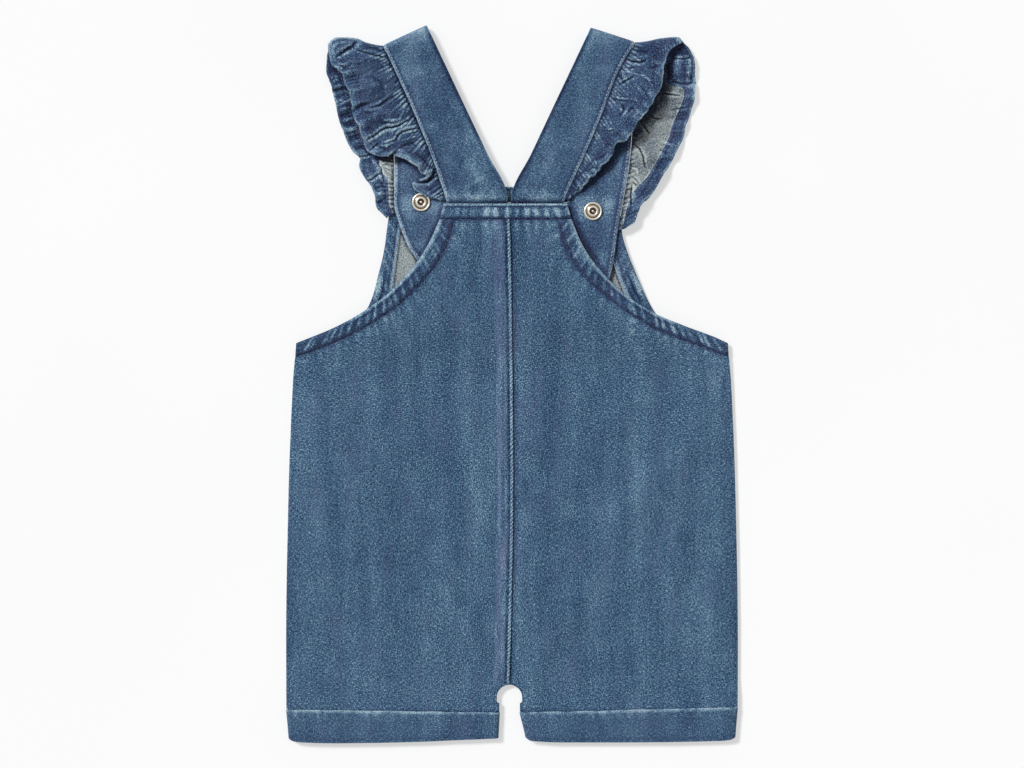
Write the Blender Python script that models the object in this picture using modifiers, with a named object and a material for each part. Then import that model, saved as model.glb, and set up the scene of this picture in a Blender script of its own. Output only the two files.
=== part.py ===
"""Kids' short dungarees in washed denim, with frilled straps, laid flat on their front.

The garment lies on a level surface with its back upwards. +Y runs from the legs to the
shoulders, +X is the wearer's right and +Z is up. The origin is on the surface, under the
middle of the garment. Lengths are in millimetres until MM turns them into metres.
"""

import math
from collections import namedtuple

import bmesh
import bpy
import numpy as np

MM = 0.001
LEFT, RIGHT = -1, 1
SIDES = {"left": LEFT, "right": RIGHT}

# Cloth
CLOTH = 1.2  # one layer of denim
TURNED_CLOTH = 1.8  # a turned hem, two layers pressed together
STRAP_CLOTH = 2.0  # a strap, faced with its own cloth
FRILL_CLOTH = 1.0
SEAM_GAP = 0.3

# Body. y is measured from the middle of the garment, half from its centre line.
Edge = namedtuple("Edge", "y half")
SIDE_SEAM = (Edge(-223, 140.6), Edge(-160, 140.8), Edge(-72, 139.4), Edge(0, 136.6), Edge(25.5, 134.5))
BACK_ARMHOLE = {
    LEFT: (
        Edge(25.5, 134.5),
        Edge(35.0, 111.1),
        Edge(45.9, 90.3),
        Edge(57.8, 72.4),
        Edge(72.8, 57.3),
        Edge(88.7, 47.2),
        Edge(102.4, 41.0),
    ),
    RIGHT: (
        Edge(25.5, 134.5),
        Edge(29.4, 126.0),
        Edge(36.6, 106.5),
        Edge(43.9, 89.4),
        Edge(54.8, 73.8),
        Edge(67.4, 61.8),
        Edge(79.6, 52.1),
        Edge(89.7, 46.3),
        Edge(102.4, 41.2),
    ),
}
FRONT_ARMHOLE = {
    LEFT: (
        Edge(25.5, 134.5),
        Edge(30.5, 116.0),
        Edge(37.0, 102.0),
        Edge(45.9, 90.3),
        Edge(61.9, 81.5),
        Edge(83.8, 75.7),
        Edge(99.4, 73.6),
        Edge(113.2, 71.5),
    ),
    RIGHT: (
        Edge(25.5, 134.5),
        Edge(30.5, 116.0),
        Edge(36.0, 102.0),
        Edge(43.6, 90.6),
        Edge(65.0, 82.9),
        Edge(83.8, 75.5),
        Edge(93.3, 72.8),
        Edge(113.2, 70.8),
    ),
}
BIB_LEAN = -4.0  # the bib lies a little to the left
LEAN_FROM, LEAN_TO = 35.0, 70.0
Seam = namedtuple("Seam", "y x")
CENTRE_SEAM = (Seam(-187.5, -1.7), Seam(-160, -0.8), Seam(-65, 0.8), Seam(84, -0.8), Seam(123, -2.6))
CROTCH_X, CROTCH_Y, CROTCH_RADIUS = -1.6, -195.4, 7.9
ARCH_ANGLES = (25, 50, 70, 84)
PANEL_FOOT = -219.2

# Hems
ARMHOLE_SAMPLES = 90
DOWN_THE_SIDE, ALONG_THE_NECK = (0.08, -1.0), (-1.0, 0.0)
SIDE_TURN, NECK_TURN = 5.0, 12.0  # heights over which a hem's width turns to those ways
ARMHOLE_HEM = 8.5
FRONT_HEM = 8.0
Band = namedtuple("Band", "foot top foot_half top_half")
BACK_NECK_HEM = Band(102.7, 112.0, 40.9, 38.3)
FRONT_NECK_HEM = Band(113.5, 123.0, 71.1, 70.0)
ARMHOLE_ROWS = 21  # of a panel, beside its armhole
BACK_ROWS, BACK_COLUMNS = 12, 12  # of a panel, between its crotch and underarm and across
FRONT_ROWS, FRONT_COLUMNS = 4, 3
PUCKER_HEIGHT = 0.3
PUCKER_SLANT = 1.0  # how far a pucker moves towards the neck from the stitches to the edge, in puckers
NECK_PUCKERS = 13
ARMHOLE_PUCKERS = 22
ARMHOLE_STRIPS = 3  # across a puckered hem

# Turned-up cuffs
CUFF_HEIGHT = 5.8
CUFF_ROWS, CUFF_FLATS, CUFF_BENDS = 3, 12, 5  # rows up a cuff, and strips across it and round its edge
CuffEnd = namedtuple("CuffEnd", "foot_x top_x")
CUFF_OUTER = CuffEnd(139.4, 141.0)
CUFF_INNER = {LEFT: CuffEnd(8.4, 7.6), RIGHT: CuffEnd(8.4, 4.6)}
CUFF_TOP_AT_SIDE = {LEFT: -202.8, RIGHT: -201.4}
CUFF_TOP_AT_INSEAM = -204.8
CUFF_CORNER = -220.4  # height at which a cuff's two edges end
CUFF_FRONT_RISE = 5.0  # a cuff's front reaches higher than its back at the inseam
CUFF_RISE_FADE = (9.0, 34.0)  # from x = 0 outwards
CUFF_FOOT = {
    LEFT: (
        Seam(-220.8, 9.0),
        Seam(-221.8, 31.6),
        Seam(-223.3, 71.5),
        Seam(-223.8, 111.4),
        Seam(-222.8, 134.4),
        Seam(-220.6, 139.4),
    ),
    RIGHT: (
        Seam(-220.0, 8.4),
        Seam(-222.4, 12.0),
        Seam(-223.3, 32.4),
        Seam(-223.3, 72.3),
        Seam(-222.8, 112.0),
        Seam(-221.6, 132.0),
        Seam(-219.8, 139.4),
    ),
}
CUFF_WRAP = 3.1  # from a cuff's edge to the edge of the leg inside it
SIDE_TUCK = (199.8, 200.9)  # how far down the leg narrows at its side to go into the cuff
INSEAM_TUCK = (194.5, 199.0)

# Heights of the underside of each layer, and the stretches over which they change
FRONT_BIB_LEVEL = 1.8  # over the snaps' caps
FRONT_BIB_RISE = (40.0, 78.0)
FRONT_CUFF_LEVEL = 1.55  # inside the cuff's wall
FRONT_CUFF_RISE = (186.0, 199.0)  # below y = 0
BACK_SIDE_LEVEL = 1.6  # sewn to the front
BACK_BODY_LEVEL = 2.8
BACK_ROUNDING = 5.0  # from a side seam to where the back is nearly level
BACK_UNDERARM_LIFT = 0.6  # over the front's armhole hem
BACK_UNDERARM_RISE = (4.0, 18.0)
BACK_BIB_LEVEL = 7.0  # over the straps' ends
BACK_BIB_RISE = (6.0, 44.0)
BACK_BIB_SPREAD = (76.0, 126.0)  # from the centre line outwards
BACK_CUFF_LEVEL = 3.05
BACK_CUFF_RISE = (180.0, 197.0)  # below y = 0

# Seam allowance under the left back panel, which lifts it beside the centre seam
ALLOWANCE_HEIGHT = 0.7
ALLOWANCE_EDGE = (5.0, 7.4)  # its far edge, from the seam
ALLOWANCE_FOOT = (-195.0, -181.0)
SEAM_COLUMNS = (0.0, 1.4, *ALLOWANCE_EDGE)  # a panel's columns beside its inner edge
SIDE_COLUMNS = (7.5, 3.0, 1.0, 0.0)  # and beside its outer edge
Fold = namedtuple("Fold", "x1 y1 x2 y2 width height")
FOLD_FOOT = (-200.0, -186.0)  # folds die away into the cuffs here
BACK_FOLDS = (
    Fold(126, -14, 52, -112, 20, 1.1),
    Fold(96, 26, 58, -34, 14, 0.7),
    Fold(104, -70, 84, -180, 18, 0.6),
    Fold(-126, -4, -84, -96, 20, 0.8),
    Fold(-86, 34, -66, -46, 15, 0.7),
    Fold(-30, -60, -52, -150, 16, 0.6),
    Fold(-26, 98, -30, 52, 5, 0.6),
    Fold(-14, 98, -16, 58, 4, 0.5),
    Fold(10, 98, 12, 60, 4, 0.5),
    Fold(20, 98, 25, 54, 5, 0.6),
    Fold(-12, -182, -44, -126, 9, 0.9),
    Fold(10, -184, 42, -132, 9, 0.9),
)

# Straps. Near is the stretch over the back, far the one inside the front bib.
StrapEnd = namedtuple("StrapEnd", "share outer_x outer_y inner_x inner_y")
NEAR_STRAP = {
    LEFT: (
        StrapEnd(0.00, -39.1, 108.5, -2.4, 108.5),
        StrapEnd(0.07, -42.3, 116.4, -2.9, 117.0),
        StrapEnd(0.86, -75.3, 198.2, -46.3, 209.2),
        StrapEnd(1.00, -80.6, 211.3, -53.2, 223.9),
    ),
    RIGHT: (
        StrapEnd(0.00, 30.3, 108.5, -1.1, 108.5),
        StrapEnd(0.07, 33.1, 116.4, -0.2, 117.7),
        StrapEnd(0.86, 68.1, 199.4, 42.2, 207.6),
        StrapEnd(1.00, 77.4, 213.4, 49.1, 222.3),
    ),
}
FarStrap = namedtuple("FarStrap", "outer_x outer_y turn")
FAR_STRAP = {
    LEFT: (
        FarStrap(-76.2, 177.5, 8),
        FarStrap(-73.6, 154.0, 2),
        FarStrap(-72.5, 130.0, 0),
        FarStrap(-72.1, 113.4, 3),
        FarStrap(-69.4, 97.5, 16),
        FarStrap(-65.0, 86.5, 26),
        FarStrap(-59.4, 77.8, 30),
        FarStrap(-52.5, 69.0, 32),
    ),
    RIGHT: (
        FarStrap(75.8, 177.5, 5),
        FarStrap(74.4, 151.9, 4),
        FarStrap(72.5, 134.4, 7),
        FarStrap(68.8, 113.1, 10),
        FarStrap(65.0, 93.1, 11),
        FarStrap(60.9, 75.3, 12),
        FarStrap(57.5, 60.0, 12),
    ),
}
FAR_STRAP_WIDTH = 29.5
STRAP_BOW = 2.8  # radius of the strap's middle layer where it turns over the shoulder
NEAR_BOW = (0, 25, 50, 72, 82)  # angles round that turn, in degrees, the far stretch's mirroring them
STRAP_COLUMNS = 2
NEAR_STRAP_SHARES = (0.0, 0.034, 0.046, 0.058, 0.072, 0.1, 0.15, 0.25, 0.4, 0.55, 0.7, 0.85, 0.95)
FAR_STRAP_ROWS = 18
Level = namedtuple("Level", "y z")
NEAR_STRAP_LEVEL = (
    Level(108.5, 5.3),
    Level(112.4, 5.32),
    Level(116.8, 7.45),
    Level(136, 7.45),
    Level(165, 6.6),
    Level(224, 6.6),
)
FAR_STRAP_LEVEL = (Level(50, 4.95), Level(127, 4.95), Level(160, 1.0), Level(224, 1.0))

# Frills. Each row gives the hem's point beside a share of the length sewn to the strap.
Hem = namedtuple("Hem", "share x y z")
NEAR_FRILL = {
    LEFT: (
        Hem(0.00, -44.5, 115.2, 8.0),
        Hem(0.05, -52.0, 118.6, 9.4),
        Hem(0.09, -60.0, 121.5, 10.2),
        Hem(0.13, -62.2, 125.6, 10.6),
        Hem(0.17, -58.8, 128.2, 9.6),
        Hem(0.21, -55.2, 131.4, 10.2),
        Hem(0.25, -59.6, 135.8, 11.6),
        Hem(0.31, -68.0, 139.8, 12.4),
        Hem(0.36, -75.6, 142.2, 12.0),
        Hem(0.42, -83.4, 143.2, 11.4),
        Hem(0.48, -89.0, 148.4, 11.8),
        Hem(0.55, -94.6, 156.4, 12.4),
        Hem(0.62, -97.8, 164.6, 12.6),
        Hem(0.70, -100.2, 174.2, 12.2),
        Hem(0.78, -102.4, 184.2, 11.8),
        Hem(0.85, -105.8, 192.4, 11.0),
        Hem(0.91, -111.4, 197.8, 10.2),
        Hem(0.96, -113.6, 204.6, 9.0),
        Hem(1.00, -114.2, 210.4, 6.9),
    ),
    RIGHT: (
        Hem(0.00, 36.0, 115.8, 8.0),
        Hem(0.07, 41.2, 119.6, 8.8),
        Hem(0.15, 47.0, 125.2, 9.8),
        Hem(0.24, 53.0, 131.6, 10.8),
        Hem(0.33, 59.6, 138.0, 11.4),
        Hem(0.40, 62.6, 143.4, 11.6),
        Hem(0.45, 64.6, 148.0, 11.4),
        Hem(0.51, 71.4, 152.2, 12.0),
        Hem(0.58, 76.6, 158.6, 12.6),
        Hem(0.65, 81.6, 166.6, 12.6),
        Hem(0.72, 87.4, 173.4, 12.4),
        Hem(0.79, 91.4, 182.4, 12.0),
        Hem(0.86, 95.6, 192.2, 11.2),
        Hem(0.92, 97.6, 201.6, 10.2),
        Hem(0.96, 101.4, 208.4, 8.6),
        Hem(1.00, 105.6, 212.4, 6.9),
    ),
}
FAR_FRILL = {
    LEFT: (
        Hem(0.00, -114.2, 210.4, 5.3),
        Hem(0.06, -115.2, 203.0, 4.4),
        Hem(0.12, -115.8, 195.0, 3.4),
        Hem(0.17, -113.4, 187.6, 2.4),
        Hem(0.25, -111.2, 179.0, 1.8),
        Hem(0.34, -109.0, 169.0, 1.6),
        Hem(0.43, -106.2, 159.6, 1.6),
        Hem(0.52, -102.6, 150.8, 1.8),
        Hem(0.59, -98.8, 144.2, 2.2),
        Hem(0.65, -94.6, 140.4, 2.8),
        Hem(0.70, -95.4, 135.4, 3.2),
        Hem(0.76, -92.2, 129.0, 3.8),
        Hem(0.82, -88.0, 123.6, 4.6),
        Hem(0.88, -85.6, 116.8, 5.4),
        Hem(0.94, -84.4, 110.4, 5.6),
        Hem(1.00, -78.4, 103.4, 5.2),
    ),
    RIGHT: (
        Hem(0.00, 105.6, 212.4, 5.3),
        Hem(0.06, 110.2, 208.4, 4.4),
        Hem(0.12, 113.4, 203.0, 3.6),
        Hem(0.20, 114.2, 194.0, 2.6),
        Hem(0.29, 114.6, 181.0, 1.8),
        Hem(0.37, 111.6, 170.0, 1.6),
        Hem(0.45, 108.6, 160.8, 1.6),
        Hem(0.52, 107.0, 154.0, 1.8),
        Hem(0.59, 103.6, 146.6, 2.2),
        Hem(0.67, 98.4, 136.8, 2.8),
        Hem(0.75, 92.6, 127.2, 3.8),
        Hem(0.82, 86.8, 118.0, 4.8),
        Hem(0.88, 80.6, 111.4, 5.4),
        Hem(0.93, 78.2, 106.4, 5.6),
        Hem(0.97, 76.6, 101.2, 5.4),
        Hem(1.00, 70.4, 97.0, 5.2),
    ),
}
FRILL_FAR_END = {LEFT: 0.70, RIGHT: 0.76}  # share of the far strap that the frill runs down
FRILL_START = 0.055  # share of the near strap where the frill begins
FRILL_BOW_SHARE = 0.05
FRILL_TURN = math.radians(79)  # how far round its strap's bow each stretch of a frill goes
FRILL_CLEARANCE = (0.75, 0.1, 0.35)  # from a strap's edge to the middle of its frill
SHOULDER_BULGE = {LEFT: 5.2, RIGHT: 2.2}  # height of a frill's arch over the line of its shoulder
BULGE_FADE = (0.0, 0.12)  # shares from the shoulder
GATHERS = 20  # small gathers along each stretch of a frill
GATHER_HEIGHT = 0.65
FAR_GATHER_HEIGHT = 0.4
FRILL_WAVES = 7
FRILL_WAVE_HEIGHT = 1.3
FAR_WAVE_HEIGHT = 1.0
STEPS_PER_GATHER = 4
GATHER_FADE = 1.3  # how fast the gathers die away from the seam
UNEVENNESS = 0.012  # share of a stretch by which its gathers and waves are shifted
WAVE_LIFT = 0.4
WAVE_SLANT = 0.12  # share of a wave
FRILL_END = 0.05  # share at each end where gathers and waves die away
FLOOR_GAP = 0.1
FRILL_ROWS = (0.0, 0.17, 0.42, 0.74, 1.0)

# Snap fasteners that hold the straps to the front bib
SNAP_AT = {LEFT: (-56.6, 113.2), RIGHT: (50.4, 107.6)}
SnapRing = namedtuple("SnapRing", "radius height")
SNAP_RING = (
    SnapRing(0.0, 0.7),
    SnapRing(1.3, 0.7),
    SnapRing(1.6, 1.3),
    SnapRing(2.3, 1.55),
    SnapRing(3.0, 1.3),
    SnapRing(3.3, 0.75),
    SnapRing(4.1, 0.75),
    SnapRing(4.5, 1.2),
    SnapRing(5.1, 1.3),
    SnapRing(5.5, 0.9),
    SnapRing(5.5, 0.0),
    SnapRing(0.0, 0.0),
)
SNAP_CAP = (
    SnapRing(0.0, 1.45),
    SnapRing(5.2, 1.45),
    SnapRing(6.0, 1.1),
    SnapRing(6.0, 0.5),
    SnapRing(5.4, 0.0),
    SnapRing(0.0, 0.0),
)
SNAP_STEPS = 18

Finish = namedtuple("Finish", "name colour roughness metallic")
DENIM = Finish("washed_denim", (0.10, 0.19, 0.31), 0.85, 0.0)
BRASS = Finish("aged_brass", (0.55, 0.44, 0.30), 0.35, 0.9)


def clear_scene():
    """Removes everything that the file opened with."""
    for thing in list(bpy.data.objects):
        bpy.data.objects.remove(thing)


def smooth(keys, values, at):
    """Value at `at` on a curve through the keys, which rise, that never overshoots them."""
    keys, values = np.asarray(keys, float), np.asarray(values, float)
    steps = np.diff(keys)
    slopes = np.diff(values) / steps
    tangents = np.concatenate([slopes[:1], np.zeros(len(keys) - 2), slopes[-1:]])
    for i in range(1, len(keys) - 1):
        if slopes[i - 1] * slopes[i] > 0:
            tangents[i] = 2 / (1 / slopes[i - 1] + 1 / slopes[i])
    at = min(max(at, keys[0]), keys[-1])
    i = min(max(int(np.searchsorted(keys, at)) - 1, 0), len(keys) - 2)
    t = (at - keys[i]) / steps[i]
    rise = t * t * (3 - 2 * t)
    start = t * (1 - t) ** 2 * tangents[i]
    end = t * t * (1 - t) * tangents[i + 1]
    return float(values[i] + (values[i + 1] - values[i]) * rise + (start - end) * steps[i])


def along(table, key, field, at):
    """A named column of a table, read smoothly at a value of its key column."""
    return smooth([getattr(row, key) for row in table], [getattr(row, field) for row in table], at)


def ramp(at, start, end):
    """0 before start, 1 after end, and a soft step between."""
    t = min(max((at - start) / (end - start), 0.0), 1.0)
    return t * t * (3 - 2 * t)


def material(finish):
    """The Principled material of a finish, made once."""
    found = bpy.data.materials.get(finish.name)
    if found:
        return found
    made = bpy.data.materials.new(finish.name)
    made.use_nodes = True
    shader = made.node_tree.nodes["Principled BSDF"]
    shader.inputs["Base Color"].default_value = (*finish.colour, 1.0)
    shader.inputs["Roughness"].default_value = finish.roughness
    shader.inputs["Metallic"].default_value = finish.metallic
    return made


def add_object(name, form, finish, garment):
    """Puts a finished bmesh in the garment's collection as a named object."""
    mesh = bpy.data.meshes.new(name)
    form.to_mesh(mesh)
    form.free()
    mesh.materials.append(material(finish))
    thing = bpy.data.objects.new(name, mesh)
    garment.objects.link(thing)
    return thing


def cloth_sheet(garment, name, columns, rows, place, thickness, centred=False):
    """A wall of cloth: a grid laid through place(column, row), thickened upwards or both ways."""
    form = bmesh.new()
    bmesh.ops.create_grid(form, x_segments=columns, y_segments=rows, size=0.5)
    for vert in form.verts:
        column = round((vert.co.x + 0.5) * columns)
        row = round((vert.co.y + 0.5) * rows)
        vert.co = [MM * length for length in place(column, row)]
    form.normal_update()
    if sum(face.normal.z for face in form.faces) < 0:
        bmesh.ops.reverse_faces(form, faces=form.faces)
    sheet = add_object(name, form, DENIM, garment)
    wall = sheet.modifiers.new("cloth", "SOLIDIFY")
    wall.thickness = thickness * MM
    wall.offset = 0.0 if centred else 1.0
    wall.use_even_offset = not centred
    return sheet


# ---- Body ----


def lean(y):
    """How far the garment's centre line lies from x = 0 at a height on the body."""
    return BIB_LEAN * ramp(y, LEAN_FROM, LEAN_TO)


def cuff_end(end, y):
    """Distance from x = 0 of a cuff's edge at a height."""
    share = min(max((y - CUFF_CORNER) / (CUFF_TOP_AT_INSEAM - CUFF_CORNER), 0.0), 1.0)
    return end.foot_x + (end.top_x - end.foot_x) * share


def body_inner(y, side):
    """The x of a panel's inner edge: the centre seam, then the crotch's arch and the inseam."""
    if y > CROTCH_Y + CROTCH_RADIUS:
        return along(CENTRE_SEAM, "y", "x", y) + side * SEAM_GAP / 2
    drop = max(y - CROTCH_Y, 0.0)
    arch = side * CROTCH_X + math.sqrt(max(CROTCH_RADIUS**2 - drop**2, 0.0))
    in_cuff = cuff_end(CUFF_INNER[side], y) + CUFF_WRAP
    return side * (arch + max(in_cuff - arch, 0.0) * ramp(-y, *INSEAM_TUCK))


def side_half(y):
    """Half the body's width below the underarm."""
    in_cuff = cuff_end(CUFF_OUTER, y) - CUFF_WRAP
    half = along(SIDE_SEAM, "y", "half", y)
    return half + (in_cuff - half) * ramp(-y, *SIDE_TUCK)


def inset_armhole(armhole, depth):
    """Points (half, y) of a line sewn `depth` inside an armhole's edge, from the underarm up.

    The line's ends lie straight in from the edge's ends, along the side seam and along the neck.
    """
    heights = np.linspace(armhole[0].y, armhole[-1].y, ARMHOLE_SAMPLES)
    halves = np.array([along(armhole, "y", "half", y) for y in heights])
    run_x, run_y = np.gradient(halves), np.gradient(heights)
    length = np.hypot(run_x, run_y)
    line = []
    for half, y, across, up in zip(halves, heights, -run_y / length, run_x / length):
        from_side = ramp(y, armhole[0].y, armhole[0].y + SIDE_TURN)
        to_neck = ramp(y, armhole[-1].y - NECK_TURN, armhole[-1].y)
        way = np.array([across, up]) * from_side + np.array(DOWN_THE_SIDE) * (1 - from_side)
        way = way * (1 - to_neck) + np.array(ALONG_THE_NECK) * to_neck
        line.append(np.array([half, y]) + way / np.hypot(*way) * depth)
    return np.array(line)


def panel_outer(stitch_line, y):
    """Half width of a panel at a height: its side seam, then the armhole's stitch line."""
    if y <= stitch_line[0, 1]:
        return side_half(y)
    return float(np.interp(y, stitch_line[:, 1], stitch_line[:, 0]))


def front_level(x, y, edge):
    """Height of the underside of the front, from the same values as back_level."""
    over_caps = FRONT_BIB_LEVEL * ramp(y, *FRONT_BIB_RISE)
    over_cuff = FRONT_CUFF_LEVEL * ramp(-y, *FRONT_CUFF_RISE)
    return over_caps + over_cuff


def fold_height(x, y):
    """Height that the soft folds of the back add at a point."""
    height = 0.0
    for fold in BACK_FOLDS:
        run = np.array([fold.x2 - fold.x1, fold.y2 - fold.y1])
        from_start = np.array([x - fold.x1, y - fold.y1])
        share = min(max(from_start @ run / (run @ run), 0.0), 1.0)
        away = np.hypot(*(from_start - share * run)) / fold.width
        height += fold.height * math.exp(-2 * away * away) * math.sin(math.pi * (0.1 + 0.8 * share))
    return height * ramp(y, *FOLD_FOOT)


def back_level(x, y, edge):
    """Height of the underside of the back, `edge` being its distance from the nearest seam."""
    rounded = 1 - math.exp(-max(edge, 0.0) / BACK_ROUNDING)
    level = BACK_SIDE_LEVEL + (BACK_BODY_LEVEL - BACK_SIDE_LEVEL) * rounded
    level += BACK_UNDERARM_LIFT * ramp(y, *BACK_UNDERARM_RISE) * (1 - rounded)
    over_tails = ramp(y, *BACK_BIB_RISE) * (1 - ramp(abs(x - lean(y)), *BACK_BIB_SPREAD))
    level += (BACK_BIB_LEVEL - level) * over_tails
    level += (BACK_CUFF_LEVEL - level) * ramp(-y, *BACK_CUFF_RISE)
    return level + fold_height(x, y) * rounded


def allowance_lift(distance, y, side):
    """How far the seam allowance, pressed to the left, lifts a panel beside the centre seam."""
    if side == RIGHT:
        return 0.0
    return ALLOWANCE_HEIGHT * (1 - ramp(distance, *ALLOWANCE_EDGE)) * ramp(y, *ALLOWANCE_FOOT)


def column_offsets(width, columns):
    """Distances of a panel's columns from its inner edge, close together at both seams."""
    by_side = [width - inset for inset in SIDE_COLUMNS]
    between = columns + 1 - len(SEAM_COLUMNS) - len(by_side)
    middle = np.linspace(SEAM_COLUMNS[-1], by_side[0], between + 2)[1:-1]
    return [*SEAM_COLUMNS, *middle, *by_side]


def panel_rows(line, torso_rows):
    """Heights of a panel's rows, those beside the armhole evenly spaced along its stitch line."""
    cuff = sorted([PANEL_FOOT, CUFF_TOP_AT_INSEAM, *(-y for y in INSEAM_TUCK + SIDE_TUCK)])
    arch = [CROTCH_Y + CROTCH_RADIUS * math.sin(math.radians(a)) for a in ARCH_ANGLES]
    torso = np.linspace(CROTCH_Y + CROTCH_RADIUS + SEAM_GAP, line[0, 1], torso_rows)
    lengths = np.concatenate([[0.0], np.cumsum(np.hypot(*np.diff(line, axis=0).T))])
    stations = np.linspace(0.0, lengths[-1], ARMHOLE_ROWS + 1)[1:]
    armhole = np.interp(stations, lengths, line[:, 1])
    return [*cuff, *arch, *torso, *armhole]


def add_back_panel(garment, name, side):
    """One half of the back, leg and bib in one piece."""
    line = inset_armhole(BACK_ARMHOLE[side], ARMHOLE_HEM + SEAM_GAP)
    rows = panel_rows(line, BACK_ROWS)
    columns = BACK_COLUMNS

    def place(column, row):
        y = rows[row]
        inner = body_inner(y, side)
        outer = side * panel_outer(line, y) + lean(y)
        distance = column_offsets(abs(outer - inner), columns)[column]
        x = inner + side * distance
        to_side = side_half(y) - abs(x - lean(y))
        to_inseam = distance + 40 * ramp(y, -196, -184)
        return x, y, back_level(x, y, min(to_side, to_inseam)) + allowance_lift(distance, y, side)

    return cloth_sheet(garment, name, columns, len(rows) - 1, place, CLOTH)


def add_front_panel(garment, name, side):
    """One half of the front, leg and bib in one piece, flat on the surface."""
    line = inset_armhole(FRONT_ARMHOLE[side], FRONT_HEM + SEAM_GAP)
    rows = panel_rows(line, FRONT_ROWS)
    columns = FRONT_COLUMNS

    def place(column, row):
        y = rows[row]
        inner = body_inner(y, side)
        outer = side * panel_outer(line, y) + lean(y)
        x = inner + (outer - inner) * column / columns
        return x, y, front_level(x, y, 0.0)

    return cloth_sheet(garment, name, columns, len(rows) - 1, place, CLOTH)


def add_armhole_hem(garment, name, side, armhole, depth, puckers, level):
    """The turned and topstitched hem round one armhole."""
    edge_line = inset_armhole(armhole[side], 0.0)
    stitch_line = inset_armhole(armhole[side], depth)
    columns = max(puckers * 4, 24)
    across = ARMHOLE_STRIPS if puckers else 1
    lengths = np.concatenate([[0.0], np.cumsum(np.hypot(*np.diff(edge_line, axis=0).T))])

    def place(column, row):
        station = lengths[-1] * column / columns
        stitch = np.array([np.interp(station, lengths, stitch_line[:, axis]) for axis in (0, 1)])
        edge = np.array([np.interp(station, lengths, edge_line[:, axis]) for axis in (0, 1)])
        half, y = stitch + (edge - stitch) * row / across
        x = side * half + lean(y)
        twist = 2 * math.pi * (puckers * column / columns - PUCKER_SLANT * row / across)
        pucker = PUCKER_HEIGHT * math.sin(twist) if puckers else 0.0
        return x, y, level(x, y, side_half(y) - half) + pucker

    return cloth_sheet(garment, name, columns, across, place, TURNED_CLOTH)


def add_neck_hem(garment, name, band, puckers, level):
    """The turned hem across the top of a bib."""
    columns = max(puckers * 4, 4)
    across = 1

    def place(column, row):
        y = band.foot + (band.top - band.foot) * row / across
        half = band.foot_half + (band.top_half - band.foot_half) * row / across
        x = lean(y) + half * (2 * column / columns - 1)
        pucker = PUCKER_HEIGHT * math.sin(2 * math.pi * puckers * column / columns) if puckers else 0.0
        return x, y, level(x, y, side_half(y) - half) + pucker

    return cloth_sheet(garment, name, columns, across, place, TURNED_CLOTH)


def add_cuff(garment, name, side):
    """A turned-up cuff: a flattened tube round the end of one leg."""
    rows, flats, bends = CUFF_ROWS, CUFF_FLATS, CUFF_BENDS
    around = 2 * (flats + bends)
    radius = CUFF_HEIGHT / 2
    inner = CUFF_INNER[side]

    def section(step, inner_x, outer_x):
        ends = (inner_x + side * radius, outer_x - side * radius)
        if step < flats:
            return ends[0] + (ends[1] - ends[0]) * step / flats, 0.0
        if step < flats + bends:
            turn = math.pi * (step - flats) / bends
            return ends[1] + side * radius * math.sin(turn), radius - radius * math.cos(turn)
        if step < 2 * flats + bends:
            return ends[1] + (ends[0] - ends[1]) * (step - flats - bends) / flats, CUFF_HEIGHT
        turn = math.pi * (step - 2 * flats - bends) / bends
        return ends[0] - side * radius * math.sin(turn), radius + radius * math.cos(turn)

    def place(column, row):
        share = row / rows
        inner_x = side * (inner.foot_x + (inner.top_x - inner.foot_x) * share)
        outer_x = side * (CUFF_OUTER.foot_x + (CUFF_OUTER.top_x - CUFF_OUTER.foot_x) * share)
        x, z = section(column % around, inner_x, outer_x)
        out = abs(x) / CUFF_OUTER.top_x
        top = CUFF_TOP_AT_INSEAM + (CUFF_TOP_AT_SIDE[side] - CUFF_TOP_AT_INSEAM) * out
        foot = along(CUFF_FOOT[side], "x", "y", abs(x))
        at_front = 1 - ramp(z, CLOTH, CUFF_HEIGHT - CLOTH)
        rise = CUFF_FRONT_RISE * (1 - ramp(abs(x), *CUFF_RISE_FADE)) * at_front
        return x, foot + (top - foot) * share + (rise if row == rows else 0.0), z

    form = bmesh.new()
    bmesh.ops.create_grid(form, x_segments=around, y_segments=rows, size=0.5)
    for vert in form.verts:
        column = round((vert.co.x + 0.5) * around)
        row = round((vert.co.y + 0.5) * rows)
        vert.co = [MM * length for length in place(column, row)]
    bmesh.ops.remove_doubles(form, verts=form.verts, dist=0.01 * MM)
    bmesh.ops.recalc_face_normals(form, faces=form.faces)
    cuff = add_object(name, form, DENIM, garment)
    wall = cuff.modifiers.new("cloth", "SOLIDIFY")
    wall.thickness = CLOTH * MM
    wall.offset = -1.0
    wall.use_even_offset = True
    return cuff


# ---- Straps ----


def strap_way(side):
    """Unit direction, in plan, from a near strap's foot to the shoulder."""
    foot, head = NEAR_STRAP[side][0], NEAR_STRAP[side][-1]
    way = np.array([head.outer_x + head.inner_x - foot.outer_x - foot.inner_x, 0.0])
    way[1] = head.outer_y + head.inner_y - foot.outer_y - foot.inner_y
    return way / np.hypot(*way)


def bow_middle():
    """Height of the middle of the bow in which a strap turns over the shoulder."""
    return FAR_STRAP_LEVEL[-1].z + STRAP_BOW


def bow_point(side, edge, turn):
    """Point on a strap's bow: edge 0 is its outer side, 1 its inner; turn is 0 to pi."""
    head = NEAR_STRAP[side][-1]
    outer, inner = np.array([head.outer_x, head.outer_y]), np.array([head.inner_x, head.inner_y])
    reach = STRAP_BOW * (math.sin(turn) - 1) - STRAP_CLOTH / 2
    x, y = outer + (inner - outer) * edge + strap_way(side) * reach
    return np.array([x, y, bow_middle() + STRAP_BOW * math.cos(turn)])


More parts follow.
